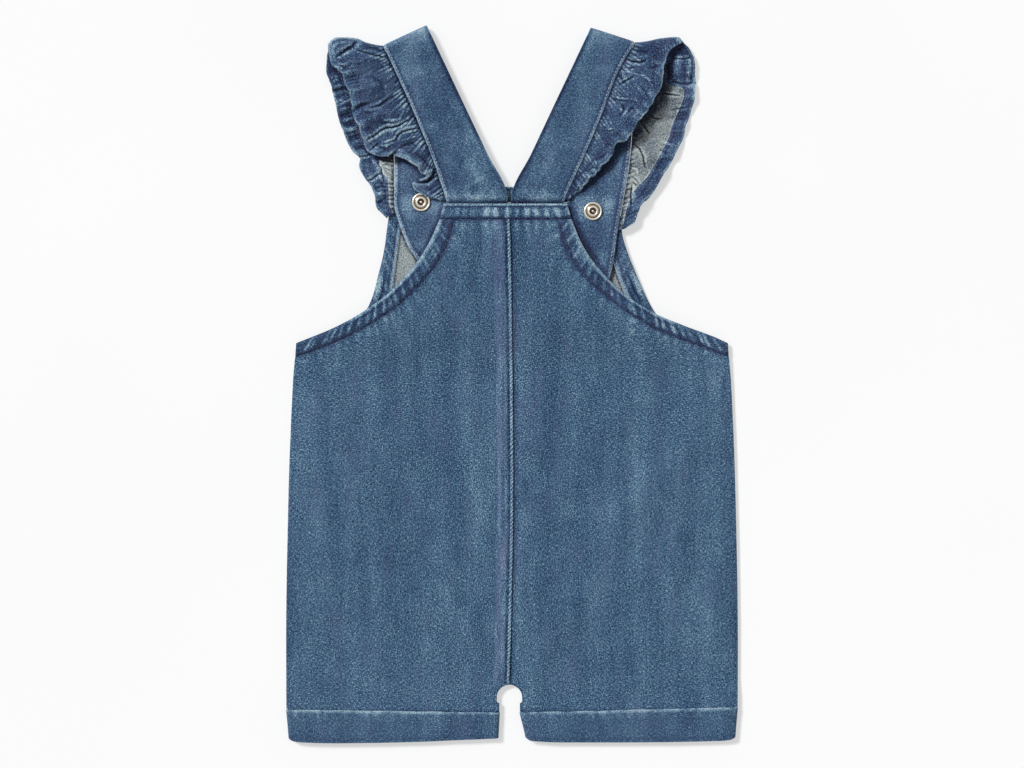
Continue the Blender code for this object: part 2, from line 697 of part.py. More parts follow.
def near_strap_point(side, edge, share):
    """Point on the flat part of a near strap, from its foot at 0 to its bow at 1."""
    ends = np.array(NEAR_STRAP[side])
    outer_x, outer_y, inner_x, inner_y = (np.interp(share, ends[:, 0], row) for row in ends[:, 1:].T)
    outer, inner = np.array([outer_x, outer_y]), np.array([inner_x, inner_y])
    shorten = share * (STRAP_BOW + STRAP_CLOTH / 2)
    x, y = outer + (inner - outer) * edge - strap_way(side) * shorten
    return np.array([x, y, along(NEAR_STRAP_LEVEL, "y", "z", y)])


def far_strap_point(side, edge, share):
    """Point on the flat part of a far strap, from its bow at 0 to its free end at 1."""
    rows = FAR_STRAP[side]
    start = bow_point(side, 0.0, math.pi)
    start_in = bow_point(side, 1.0, math.pi)
    start_turn = math.degrees(math.atan2(start_in[1] - start[1], abs(start_in[0] - start[0])))
    xs = [start[0], *(row.outer_x for row in rows)]
    ys = [start[1], *(row.outer_y for row in rows)]
    turns = [start_turn, *(row.turn for row in rows)]
    shares = np.concatenate([[0.0], np.cumsum(np.hypot(np.diff(xs), np.diff(ys)))])
    shares = shares / shares[-1]
    turn = math.radians(smooth(shares, turns, share))
    width = FAR_STRAP_WIDTH * edge
    x = smooth(shares, xs, share) - side * width * math.cos(turn)
    y = smooth(shares, ys, share) + width * math.sin(turn)
    return np.array([x, y, along(FAR_STRAP_LEVEL, "y", "z", y)])


def add_near_strap(garment, name, side):
    """The stretch of a strap over the back, from under the neck hem to the shoulder."""
    turns = [math.radians(angle) for angle in NEAR_BOW]

    def place(column, row):
        edge = column / STRAP_COLUMNS
        if row < len(NEAR_STRAP_SHARES):
            return near_strap_point(side, edge, NEAR_STRAP_SHARES[row])
        return bow_point(side, edge, turns[row - len(NEAR_STRAP_SHARES)])

    rows = len(NEAR_STRAP_SHARES) + len(turns) - 1
    return cloth_sheet(garment, name, STRAP_COLUMNS, rows, place, STRAP_CLOTH, centred=True)


def add_far_strap(garment, name, side):
    """The stretch of a strap inside the front bib, from the shoulder to its free end."""
    turns = [math.radians(180 - angle) for angle in reversed(NEAR_BOW[1:])]

    def place(column, row):
        edge = column / STRAP_COLUMNS
        if row < len(turns):
            return bow_point(side, edge, turns[row])
        return far_strap_point(side, edge, (row - len(turns)) / FAR_STRAP_ROWS)

    rows = len(turns) + FAR_STRAP_ROWS
    return cloth_sheet(garment, name, STRAP_COLUMNS, rows, place, STRAP_CLOTH, centred=True)


# ---- Frills ----


def frill_seam(side, near, share):
    """Point of the strap's outer edge that a frill is sewn to, share by share."""
    if near:
        flat = share / (1 - FRILL_BOW_SHARE)
        if flat <= 1:
            return near_strap_point(side, 0.0, FRILL_START + (1 - FRILL_START) * flat)
        return bow_point(side, 0.0, FRILL_TURN * (1 - (1 - share) / FRILL_BOW_SHARE))
    if share < FRILL_BOW_SHARE:
        return bow_point(side, 0.0, math.pi - FRILL_TURN * (1 - share / FRILL_BOW_SHARE))
    flat = (share - FRILL_BOW_SHARE) / (1 - FRILL_BOW_SHARE)
    return far_strap_point(side, 0.0, FRILL_FAR_END[side] * flat)


def frill_point(side, near, share, out):
    """Point of a frill: out is 0 at the strap's seam and 1 at the frill's hem."""
    table = (NEAR_FRILL if near else FAR_FRILL)[side]
    hem = np.array([along(table, "share", axis, share) for axis in ("x", "y", "z")])
    seam = frill_seam(side, near, share) + np.array(FRILL_CLEARANCE) * (side, 1, 1)
    x, y, z = seam + (hem - seam) * out
    from_shoulder = 1 - share if near else share
    y += SHOULDER_BULGE[side] * math.sin(math.pi * out) * (1 - ramp(from_shoulder, *BULGE_FADE))
    ends = min(share / FRILL_END, (1 - share) / FRILL_END, 1.0)
    uneven = share + UNEVENNESS * math.sin(9 * math.pi * share)
    gather = (GATHER_HEIGHT if near else FAR_GATHER_HEIGHT) * (1 - out) ** GATHER_FADE
    wave = (FRILL_WAVE_HEIGHT if near else FAR_WAVE_HEIGHT) * out
    z += ends * gather * math.sin(2 * math.pi * GATHERS * uneven)
    z += ends * wave * (WAVE_LIFT + math.sin(2 * math.pi * (FRILL_WAVES * uneven + WAVE_SLANT * out)))
    return x, y, max(z, FRILL_CLOTH / 2 + FLOOR_GAP)


def add_frill(garment, name, side, near):
    """One stretch of a gathered frill along a strap's outer edge."""
    steps = GATHERS * STEPS_PER_GATHER

    def place(column, row):
        return frill_point(side, near, column / steps, FRILL_ROWS[row])

    return cloth_sheet(garment, name, steps, len(FRILL_ROWS) - 1, place, FRILL_CLOTH, centred=True)


# ---- Snaps ----


def add_turned(garment, name, profile, centre, foot):
    """A turned metal piece, its profile's heights counted from foot."""
    form = bmesh.new()
    points = [form.verts.new((row.radius * MM, 0.0, (foot + row.height) * MM)) for row in profile]
    for start, end in zip(points, points[1:]):
        form.edges.new((start, end))
    piece = add_object(name, form, BRASS, garment)
    piece.location = (centre[0] * MM, centre[1] * MM, 0.0)
    screw = piece.modifiers.new("turn", "SCREW")
    screw.steps = SNAP_STEPS
    screw.render_steps = SNAP_STEPS
    screw.use_merge_vertices = True
    screw.merge_threshold = 0.00001
    return piece


def add_snap(garment, word, side):
    """A snap's ring on the strap, and its cap outside the front bib."""
    x, y = SNAP_AT[side]
    strap_top = along(FAR_STRAP_LEVEL, "y", "z", y) + STRAP_CLOTH / 2
    add_turned(garment, f"snap_ring_{word}", SNAP_RING, (x, y), strap_top + SEAM_GAP)
    add_turned(garment, f"snap_cap_{word}", SNAP_CAP, (x, y), 0.0)


def main():
    clear_scene()
    garment = bpy.data.collections.new("kids_dungarees")
    bpy.context.scene.collection.children.link(garment)
    for word, side in SIDES.items():
        add_front_panel(garment, f"front_panel_{word}", side)
        add_armhole_hem(
            garment, f"front_armhole_hem_{word}", side, FRONT_ARMHOLE, FRONT_HEM, 0, front_level
        )
        add_back_panel(garment, f"back_panel_{word}", side)
        add_armhole_hem(
            garment,
            f"back_armhole_hem_{word}",
            side,
            BACK_ARMHOLE,
            ARMHOLE_HEM,
            ARMHOLE_PUCKERS,
            back_level,
        )
        add_cuff(garment, f"cuff_{word}", side)
        add_near_strap(garment, f"strap_{word}_back", side)
        add_far_strap(garment, f"strap_{word}_front", side)
        add_frill(garment, f"frill_{word}_back", side, near=True)
        add_frill(garment, f"frill_{word}_front", side, near=False)
        add_snap(garment, word, side)
    add_neck_hem(garment, "front_neck_hem", FRONT_NECK_HEM, 0, front_level)
    add_neck_hem(garment, "back_neck_hem", BACK_NECK_HEM, NECK_PUCKERS, back_level)


main()
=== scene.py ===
"""Looks of kids' short dungarees in washed denim, laid flat on their front with the back upwards.

Tables and fields hold millimetres in the frame of the CAD model: +Y runs from the legs to the shoulders,
+X to the wearer's right and +Z up, out of the garment's back. MM turns them into Blender's metres.
"""

import logging
import math
from dataclasses import dataclass, field, replace
from enum import Enum
from typing import Callable, NamedTuple, Sequence

import bpy
import numpy as np
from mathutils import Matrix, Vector


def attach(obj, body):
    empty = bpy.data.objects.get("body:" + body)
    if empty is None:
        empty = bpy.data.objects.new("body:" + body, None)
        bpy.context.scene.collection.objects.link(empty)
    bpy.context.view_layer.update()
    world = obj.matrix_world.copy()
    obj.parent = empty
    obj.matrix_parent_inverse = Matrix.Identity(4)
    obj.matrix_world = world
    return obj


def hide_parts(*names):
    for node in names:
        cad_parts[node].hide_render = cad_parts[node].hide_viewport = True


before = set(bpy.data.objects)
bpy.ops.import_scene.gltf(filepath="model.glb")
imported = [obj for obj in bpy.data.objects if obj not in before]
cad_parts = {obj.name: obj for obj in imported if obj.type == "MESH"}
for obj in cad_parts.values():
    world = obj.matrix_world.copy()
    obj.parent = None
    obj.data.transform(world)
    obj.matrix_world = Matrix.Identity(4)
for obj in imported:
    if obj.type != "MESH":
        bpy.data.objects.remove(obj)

LOG = logging.getLogger("dungarees")
MM = 0.001
PER_CM = 0.1  # the cloth's UV maps count centimetres
TURN = 2 * math.pi
Array = np.ndarray
Colour = tuple[float, float, float]
Piece = bpy.types.Object
Mesh = bpy.types.Mesh
Material = bpy.types.Material
Socket = bpy.types.NodeSocket


class Side(Enum):
    """The wearer's side, by the sign of its x."""

    LEFT = -1
    RIGHT = 1

    @property
    def word(self) -> str:
        """The side as it stands in the names of nodes and pieces."""
        return self.name.lower()

    def pick(self, left: object, right: object) -> object:
        """Whichever of two values is for this side."""
        return left if self is Side.LEFT else right


class Hold(Enum):
    """How a sheet of cloth lies."""

    LAID = "laid"
    GATHERED = "gathered"
    FOLDED = "folded"


# ---- Curves, tables and unevenness ----


def ramp(at: Array | float, start: float, end: float) -> Array:
    """0 before start, 1 after end, and a soft step between."""
    share = np.clip((np.asarray(at, float) - start) / (end - start), 0.0, 1.0)
    return share * share * (3 - 2 * share)


def bump(at: Array, middle: float, width: float) -> Array:
    """A soft hump of height 1 round a middle."""
    return np.exp(-(((at - middle) / width) ** 2))


def stacked(*parts: Array) -> Array:
    """Coordinates put together in a new last axis."""
    return np.stack(parts, axis=-1)


def smooth(keys: Sequence[float], values: Sequence[float], at: Array | float) -> Array:
    """Reads a curve through the keys that never overshoots them.

    Args:
        keys: rising positions.
        values: the curve's values there.
        at: where to read it.

    Returns:
        The curve's values at `at`.
    """
    keys, values = np.asarray(keys, float), np.asarray(values, float)
    steps = np.diff(keys)
    slopes = np.diff(values) / steps
    tangents = np.concatenate([slopes[:1], np.zeros(len(keys) - 2), slopes[-1:]])
    for i in range(1, len(keys) - 1):
        if slopes[i - 1] * slopes[i] > 0:
            tangents[i] = 2 / (1 / slopes[i - 1] + 1 / slopes[i])
    at = np.clip(np.asarray(at, float), keys[0], keys[-1])
    i = np.clip(np.searchsorted(keys, at) - 1, 0, len(keys) - 2)
    t = (at - keys[i]) / steps[i]
    rise = t * t * (3 - 2 * t)
    bend = t * (1 - t) ** 2 * tangents[i] - t * t * (1 - t) * tangents[i + 1]
    return values[i] + (values[i + 1] - values[i]) * rise + bend * steps[i]


def along(rows: Array, at: Array | float, column: int = 1) -> Array:
    """Reads a column of a table smoothly at values of its first column."""
    return smooth(rows[:, 0], rows[:, column], at)


def table(text: str) -> Array:
    """A table of numbers, with a semicolon between two rows."""
    return np.array([[float(word) for word in row.split()] for row in text.split(";")])


def both(kind: Callable[[str], Array | tuple], left: str, right: str) -> dict[Side, Array | tuple]:
    """The tables or folds of both sides, read by a function."""
    return {Side.LEFT: kind(left), Side.RIGHT: kind(right)}


def drift(x: Array, y: Array, size: float, seed: int) -> Array:
    """Smooth random heights from -1 to 1.

    Args:
        x: first coordinate.
        y: second coordinate.
        size: about how far apart hills and hollows are.
        seed: which pattern.

    Returns:
        The heights at the given points.
    """
    cells = 64
    lattice = np.random.default_rng(seed).uniform(-1, 1, (cells, cells))
    u, v = np.asarray(x, float) / size + cells / 2, np.asarray(y, float) / size + cells / 2
    i, j = np.floor(u).astype(int), np.floor(v).astype(int)
    fade_u, fade_v = (f**3 * (f * (6 * f - 15) + 10) for f in (u - i, v - j))
    i, next_i = i % cells, (i + 1) % cells
    low, high = (
        lattice[i, row % cells] * (1 - fade_u) + lattice[next_i, row % cells] * fade_u for row in (j, j + 1)
    )
    return low * (1 - fade_v) + high * fade_v


@dataclass(frozen=True)
class Gathers:
    """Small uneven ridges that run from a row of stitches into the cloth.

    `lean` is how far they move along the row for each millimetre away from it. `told` holds the centre, half
    width and height of each ridge, where they aren't left to chance.
    """

    span: float
    count: int
    reach: float
    lean: float = 0.0
    seed: int = 1
    told: Array | tuple = ()

    def height(self, station: Array, away: Array) -> Array:
        """Height of the ridges, from 0 to about 1.

        Args:
            station: distance along the row of stitches.
            away: distance from the row.

        Returns:
            The height at each point.
        """
        rng = np.random.default_rng(self.seed)
        pitch = self.span / self.count
        centres = (np.arange(self.count) + 0.5 + rng.uniform(-0.24, 0.24, self.count)) * pitch
        widths = rng.uniform(0.17, 0.30, self.count) * pitch
        reaches = self.reach * rng.uniform(0.55, 1.6, self.count)
        heights = rng.uniform(0.45, 1.0, self.count)
        leans = self.lean + rng.uniform(-0.2, 0.2, self.count)
        if len(self.told):
            centres, widths, heights = np.array(self.told).T
        total = np.zeros_like(np.asarray(station, float))
        for centre, width, reach, tall, lean in zip(centres, widths, reaches, heights, leans):
            off = (station - centre - lean * away) / width
            total += tall * np.exp(-off * off - np.maximum(away, 0.0) / reach)
        return total


class Fold(NamedTuple):
    """A trough (height below 0) or ridge along a bent line, given by x and y of each of its points."""

    width: float
    height: float
    way: Array


def folds(text: str) -> tuple[Fold, ...]:
    """Folds, each from half its width, its height, and x and y of each of its points in turn."""
    rows = [[float(word) for word in row.split()] for row in text.split(";")]
    return tuple(Fold(width, height, np.array(way).reshape(-1, 2)) for width, height, *way in rows)


def folded(folds: Sequence[Fold], x: Array, y: Array) -> Array:
    """Height that folds add at points, less towards their ends.

    Args:
        folds: the folds, whose width is half the width of the trough or ridge.
        x: first coordinate of the points.
        y: second coordinate of the points.

    Returns:
        The height that they add, in millimetres.
    """
    total = np.zeros_like(np.asarray(x, float))
    for crease in folds:
        ends = crease.way
        lengths = np.hypot(*np.diff(ends, axis=0).T)
        nearest, share, before = np.full_like(total, 1e9), np.zeros_like(total), 0.0
        for start, end, length in zip(ends, ends[1:], lengths):
            run = (end - start) / length
            step = np.clip((x - start[0]) * run[0] + (y - start[1]) * run[1], 0.0, length)
            away = np.hypot(x - start[0] - step * run[0], y - start[1] - step * run[1])
            share = np.where(away < nearest, (before + step) / lengths.sum(), share)
            nearest = np.minimum(away, nearest)
            before += length
        taper = np.sqrt(np.sin(math.pi * (0.04 + 0.92 * share)))
        total += crease.height * np.exp(-2 * (nearest / crease.width) ** 2) * taper
    return total


# ---- Finishes ----


class Tree:
    """A material's node tree, built one node at a time."""

    def __init__(self, name: str) -> None:
        """Starts a material that holds only its shader and its output."""
        self.material = bpy.data.materials.new(name)
        self.material.use_nodes = True
        self.nodes = self.material.node_tree.nodes
        self.place = self.node("ShaderNodeTexCoord").outputs["Object"]

    def node(self, kind: str, inputs: dict | None = None, **settings: object) -> bpy.types.Node:
        """Adds a node.

        Args:
            kind: Blender's name of the node's type.
            inputs: a value or an output socket for each named or numbered input.
            **settings: the node's own properties.

        Returns:
            The new node.
        """
        made = self.nodes.new(kind)
        for key, value in settings.items():
            setattr(made, key, value)
        self.feed(made, inputs or {})
        return made

    def feed(self, node: bpy.types.Node, inputs: dict) -> None:
        """Links outputs to a node's inputs, or sets the inputs' own values."""
        for key, value in inputs.items():
            if isinstance(value, Socket):
                self.material.node_tree.links.new(value, node.inputs[key])
            else:
                node.inputs[key].default_value = value

    def shade(self, colour: Socket, rough: float | Socket, **others: object) -> Material:
        """Sets the shader's inputs, whose names have _ for a space, and returns the finished material."""
        inputs = {key.replace("_", " "): value for key, value in others.items()}
        self.feed(self.nodes["Principled BSDF"], {"Base Color": colour, "Roughness": rough, **inputs})
        return self.material

    def math(self, operation: str, first: object, second: object = 0.0) -> Socket:
        """The result of one sum on two values."""
        return self.node("ShaderNodeMath", {0: first, 1: second}, operation=operation).outputs[0]

    def add(self, first: object, *others: object) -> Socket:
        """The sum of values."""
        for other in others:
            first = self.math("ADD", first, other)
        return first

    def spread(self, value: object, amount: float) -> Socket:
        """A value from 0 to 1 turned into a swing of `amount` round 0."""
        return self.math("MULTIPLY", self.math("SUBTRACT", value, 0.5), amount)

    def between(self, value: object, low: float, high: float) -> Socket:
        """0 below low, 1 above high and a soft step between."""
        made = self.node("ShaderNodeMapRange", {0: value, 1: low, 2: high}, interpolation_type="SMOOTHSTEP")
        return made.outputs[0]

    def blend(self, share: object, first: object, second: Colour) -> Socket:
        """A colour between two colours."""
        first = first if isinstance(first, Socket) else (*first, 1.0)
        inputs = {0: share, 6: first, 7: (*second, 1.0)}
        return self.node("ShaderNodeMix", inputs, data_type="RGBA").outputs[2]

    def stretched(self, vector: Socket, scale: Colour, turn: float = 0.0) -> Socket:
        """Coordinates turned about Z and then scaled."""
        turned = self.node("ShaderNodeMapping", {"Vector": vector, "Rotation": (0.0, 0.0, turn)})
        return self.node("ShaderNodeMapping", {"Vector": turned.outputs[0], "Scale": scale}).outputs[0]

    def noise(self, vector: Socket, scale: float | Colour, detail: float = 2.0) -> Socket:
        """Noise from 0 to 1, with one scale or one for each axis."""
        if isinstance(scale, tuple):
            vector, scale = self.stretched(vector, scale), 1.0
        inputs = {"Vector": vector, "Scale": scale, "Detail": detail, "Roughness": 0.6}
        return self.node("ShaderNodeTexNoise", inputs).outputs[0]

    def attribute(self, name: str) -> Socket:
        """A number stored on the piece's points."""
        return self.node("ShaderNodeAttribute", attribute_name=name).outputs["Fac"]

    def ramp_of(self, value: object, stops: Sequence[tuple[float, Colour]]) -> Socket:
        """A colour read from a row of stops."""
        made = self.node("ShaderNodeValToRGB", {0: value})
        elements = made.color_ramp.elements
        while len(elements) < len(stops):
            elements.new(0.5)
        for element, (place, colour) in zip(elements, stops):
            element.position = place
            element.color = (*colour, 1.0)
        return made.outputs[0]

    def relief(self, height: object, depth: float) -> Socket:
        """A bump of a depth in millimetres."""
        inputs = {"Height": height, "Strength": 1.0, "Distance": depth * MM}
        return self.node("ShaderNodeBump", inputs).outputs[0]


def srgb(red: float, green: float, blue: float) -> Colour:
    """A display colour as the linear colour that a shader takes."""
    parts = [value / 255 for value in (red, green, blue)]
    return tuple(p / 12.92 if p < 0.04045 else ((p + 0.055) / 1.055) ** 2.4 for p in parts)


def stops(text: str) -> tuple[tuple[float, Colour], ...]:
    """Stops of a colour ramp, each from its place and a display colour."""
    return tuple((place, srgb(*colour)) for place, *colour in table(text))


@dataclass(frozen=True)
class Denim:
    """Washed cotton twill: dyed warp over a pale weft, seen from one of its two sides.

    `stops` run from the palest threads to the darkest, and `violet` is what the dye drifts to in patches.
    `rubbing` is how far wear takes the dye away, and the swing after it how far kept dye and painted shade
    darken it.
    """

    name: str
    stops: tuple[tuple[float, Colour], ...]
    violet: Colour
    contrast: float = 1.0
    rubbing: float = 0.72
    shade_and_dye_swing: float = 0.58

    def toned(self, name: str, contrast: float, tone: Colour) -> "Denim":
        """The same denim with calmer threads, its darker colours multiplied by a tone."""
        stops = tuple(
            (at, tuple(part * by ** ramp(at, 0.2, 0.5) for part, by in zip(colour, tone)))
            for at, colour in self.stops
        )
        return replace(self, name=name, contrast=contrast, stops=stops)

    def material(self) -> Material:
        """Builds the material, which reads the UV map "cloth" and what a piece stores of its wear."""
        tree = Tree(self.name)
        cloth = tree.node("ShaderNodeUVMap", uv_map="cloth").outputs[0]
        warp = tree.noise(cloth, (17.0, 6.0, 1.0), 1.0)
        weft = tree.noise(cloth, (7.0, 18.0, 1.0), 0.0)
        speck = tree.noise(cloth, 16.0, 0.0)
        slub = tree.noise(cloth, (4.2, 0.5, 1.0))
        lines = tree.stretched(cloth, (1.0, 1.0, 1.0), math.radians(-28))
        twill = tree.node("ShaderNodeTexWave", {"Vector": lines, "Scale": 3.6, "Distortion": 1.2}).outputs[1]
        dye = tree.add(tree.spread(warp, 1.5 * self.contrast), 0.5)
        for part, share in ((weft, 0.95), (speck, 1.5), (slub, 0.30), (twill, 0.07)):
            dye = tree.add(dye, tree.spread(part, share * self.contrast))
        wash = tree.noise(tree.place, (62.0, 9.0, 40.0))
        dye = tree.add(dye, tree.spread(tree.noise(cloth, 0.6), 0.24), tree.spread(wash, 0.42))
        grit = tree.noise(cloth, (10.0, 5.0, 1.0))
        # worn lightens the dye; the second mark darkens it with kept dye and painted shade
        for mark, swing in (("worn", -self.rubbing), ("darkening_and_shade", self.shade_and_dye_swing)):
            broken = tree.add(tree.spread(grit, 1.5), 1.0)
            shift = tree.math("MULTIPLY", tree.math("MULTIPLY", tree.attribute(mark), broken), swing)
            dye = tree.add(dye, shift)
        colour = tree.ramp_of(tree.add(tree.math("MULTIPLY", dye, 0.5), 0.25), self.stops)
        patches = tree.between(tree.noise(tree.place, (95.0, 34.0, 60.0), 3.0), 0.46, 0.70)
        patches = tree.add(tree.math("MULTIPLY", patches, 0.17), tree.attribute("violet"))
        threads = tree.add(tree.spread(warp, 0.9), tree.spread(twill, 0.35), tree.spread(speck, 0.7))
        colour = tree.blend(patches, colour, self.violet)
        gloss = {"Specular_IOR_Level": 0.18, "Sheen_Weight": 0.06, "Sheen_Roughness": 0.6}
        return tree.shade(colour, 0.9, Normal=tree.relief(threads, 0.22), **gloss)


FACE = Denim(
    name="washed_denim_face",
    stops=stops(
        """0.08 166 188 198; 0.26 118 148 169; 0.40 76 111 139; 0.50 56 87 117; 0.61 38 64 96;
        0.73 23 38 69; 0.90 11 16 36"""
    ),
    violet=srgb(92, 97, 134),
    contrast=0.92,
)
SOFT = FACE.toned("washed_denim_soft", 0.69, (1.09, 0.97, 0.97))
# a darker, more violet copy of the face denim for the frills: painted shade of the gathered cloth
FOLDED = FACE.toned("washed_denim_folded", 0.80, (1.02, 0.81, 0.88))
WRONG = Denim(
    name="washed_denim_wrong_side",
    stops=stops(
        """0.15 198 206 204; 0.40 168 177 177; 0.50 150 159 160; 0.60 124 134 140; 0.74 78 88 104;
        0.92 40 46 60"""
    ),
    violet=srgb(140, 138, 146),
    contrast=0.66,
    shade_and_dye_swing=0.95,
)


@dataclass(frozen=True)
class Thread:
    """Sewing thread, slightly uneven in colour from stitch to stitch."""

    name: str
    dark: Colour
    light: Colour

    def material(self) -> Material:
        """Builds the material from Object coordinates."""
        tree = Tree(self.name)
        shade = tree.between(tree.noise(tree.place, 330.0), 0.38, 0.66)
        normal = tree.relief(tree.noise(tree.place, 2600.0, 1.0), 0.08)
        colour = tree.blend(shade, self.dark, self.light)
        return tree.shade(colour, 0.6, Specular_IOR_Level=0.3, Normal=normal)


@dataclass(frozen=True)
class Brass:
    """Silvery aged brass, pale with a painted highlight on its raised rims, and dark with patina and painted
    shade in its grooves.
    """

    name: str = "aged_brass"
    # pale metal with a painted highlight on the rims; patina and painted shade in the grooves and the centre
    # hole
    bright: Colour = (0.93, 0.85, 0.72)
    dull: Colour = (0.060, 0.040, 0.022)

    def material(self) -> Material:
        """Builds the material, which reads a stored attribute as how dark each point is: patina and painted
        shade in the grooves and the centre hole.
        """
        tree = Tree(self.name)
        stain = tree.spread(tree.noise(tree.place, 900.0, 3.0), 0.5)
        groove = tree.between(tree.add(tree.attribute("darkening_and_shade"), stain), 0.0, 1.0)
        rough = tree.add(tree.spread(tree.noise(tree.place, 1500.0), 0.2), 0.30)
        return tree.shade(tree.blend(groove, self.bright, self.dull), rough, Metallic=0.55)


class Finishes:
    """Every material of the garment, each made once."""

    def __init__(self) -> None:
        """Builds the materials."""
        self.face = FACE.material()
        self.wrong = WRONG.material()
        self.soft = SOFT.material()
        self.folded = FOLDED.material()
        self.navy = Thread("navy_thread", srgb(28, 34, 64), srgb(66, 80, 116)).material()
        self.pale = Thread("pale_thread", srgb(134, 154, 176), srgb(206, 218, 226)).material()
        self.rose = Thread("rose_thread", srgb(70, 74, 112), srgb(150, 138, 168)).material()
        self.brass = Brass().material()


# ---- Sheets of cloth and stitches ----


class Laid(NamedTuple):
    """A sheet's points in its middle layer, and what its finish reads there.

    `grain` is how far across and along the warp each point lies on the cut cloth. `worn` tells, from 0 to 1,
    how much dye is rubbed off; the next field tells how much kept dye and painted shade darken the cloth, and
    `violet` how far it turns violet.
    """

    points: Array
    grain: Array
    thickness: Array
    worn: Array
    darkening_and_shade: Array
    violet: Array | float = 0.0


Place = Callable[[Array, Array], Laid]
Seams = list[tuple[Array | float, Array | float, float]]


class Cut(NamedTuple):
    """What a sheet stands for: its CAD nodes, the size it was cut to, what it rests on and how.

    `fullness` is how much more cloth was cut than lies in the surface, as gathers take it up.
    """

    nodes: tuple[str, ...]
    flat: tuple[float, float]
    rests_on: str
    held: Hold = Hold.FOLDED
    fullness: float = 1.0


def shares_of(columns: int, rows: int) -> list[Array]:
    """Shares across and along a grid."""
    return np.meshgrid(np.linspace(0, 1, columns + 1), np.linspace(0, 1, rows + 1))


def area_of(place: Place) -> float:
    """Area of a sheet's middle layer in square metres."""
    points = place(*shares_of(60, 120)).points * MM
    right, up = np.diff(points, axis=1)[:-1], np.diff(points, axis=0)[:, :-1]
    return float(np.linalg.norm(np.cross(right, up), axis=-1).sum())


def grid_normals(points: Array) -> Array:
    """Unit normals of a grid of points, by its two directions."""
    normal = np.cross(np.gradient(points, axis=1), np.gradient(points, axis=0))
    return normal / np.maximum(np.linalg.norm(normal, axis=-1, keepdims=True), 1e-9)


def blurred(values: Array, passes: tuple[int, int]) -> Array:
    """Softens a grid of values, a number of times along its rows and along its columns."""
    for axis, count in enumerate(passes):
        last = values.shape[axis]
        for _ in range(count):
            padded = np.concatenate([values.take([0], axis), values, values.take([-1], axis)], axis)
            before, after = padded.take(range(last), axis), padded.take(range(2, last + 2), axis)
            values = (before + 2 * values + after) / 4
    return values


def worn_and_shaded(laid: Laid, normals: Array, reach: float, gain: float) -> tuple[Array, Array]:
    """Rubs the dye off whatever stands out of a sheet, and darkens its hollows with kept dye and painted
    shade.

    Args:
        laid: the sheet.
        normals: its unit normals, which point out of its face.
        reach: size of the ridges and hollows that matter.
        gain: how strongly a millimetre tells.

    Returns:
        How worn the dye is, and how much kept dye and painted shade darken it, on that side.
    """
    face = laid.points + normals * laid.thickness[..., None] / 2
    passes = []
    for axis in (0, 1):
        spacing = np.linalg.norm(np.diff(face, axis=axis), axis=-1).mean()
        passes.append(int(min(max((2 * reach / spacing) ** 2, 1), 60)))
    soft = stacked(*(blurred(face[..., axis], tuple(passes)) for axis in range(3)))
    hollow = ((soft - face) * normals).sum(axis=-1)
    hollow[:2], hollow[-2:], hollow[:, :2], hollow[:, -2:] = 0, 0, 0, 0
    worn = laid.worn + gain * np.clip(-hollow - 0.02, 0, 0.6)
    # hollows darken: kept dye and painted shade
    darkening_and_shade = laid.darkening_and_shade + 1.3 * gain * np.clip(hollow - 0.02, 0, 0.6)
    return np.clip(worn, 0, 1), np.clip(darkening_and_shade, 0, 1)


def pick(piece: Piece) -> None:
    """Selects one object alone and makes it active."""
    bpy.ops.object.select_all(action="DESELECT")
    piece.select_set(True)
    bpy.context.view_layer.objects.active = piece


def apply(piece: Piece, *modifiers: bpy.types.Modifier) -> None:
    """Applies modifiers in order, with only the piece selected."""
    pick(piece)
    for change in modifiers:
        bpy.ops.object.modifier_apply(modifier=change.name)


def modifier(piece: Piece, kind: str, **settings: object) -> bpy.types.Modifier:
    """Adds a modifier with its settings."""
    made = piece.modifiers.new(kind.lower(), kind)
    for key, value in settings.items():
        setattr(made, key, value)
    return made


def numbers(items: Sequence, name: str, size: int = 1, kind: type = np.int32) -> Array:
    """Reads one property of all of a mesh's items."""
    values = np.empty(len(items) * size, kind)
    items.foreach_get(name, values)
    return values


def write(mesh: Mesh, name: str, values: Array, domain: str = "POINT") -> None:
    """Stores a number on each of a mesh's points or edges."""
    stored = mesh.attributes.new(name, "FLOAT", domain)
    stored.data.foreach_set("value", np.ascontiguousarray(values, np.float32).ravel())


def move_points(mesh: Mesh, points: Array) -> None:
    """Places all of a mesh's points, given in millimetres."""
    mesh.vertices.foreach_set("co", np.ascontiguousarray(points * MM, np.float32).ravel())
    mesh.update()


def ride(piece: Piece) -> None:
    """Fixes a finished piece to the garment, shaded smooth."""
    pick(piece)
    bpy.ops.object.shade_smooth()
    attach(piece, "root")
    LOG.info("%s: %d points", piece.name, len(piece.data.vertices))


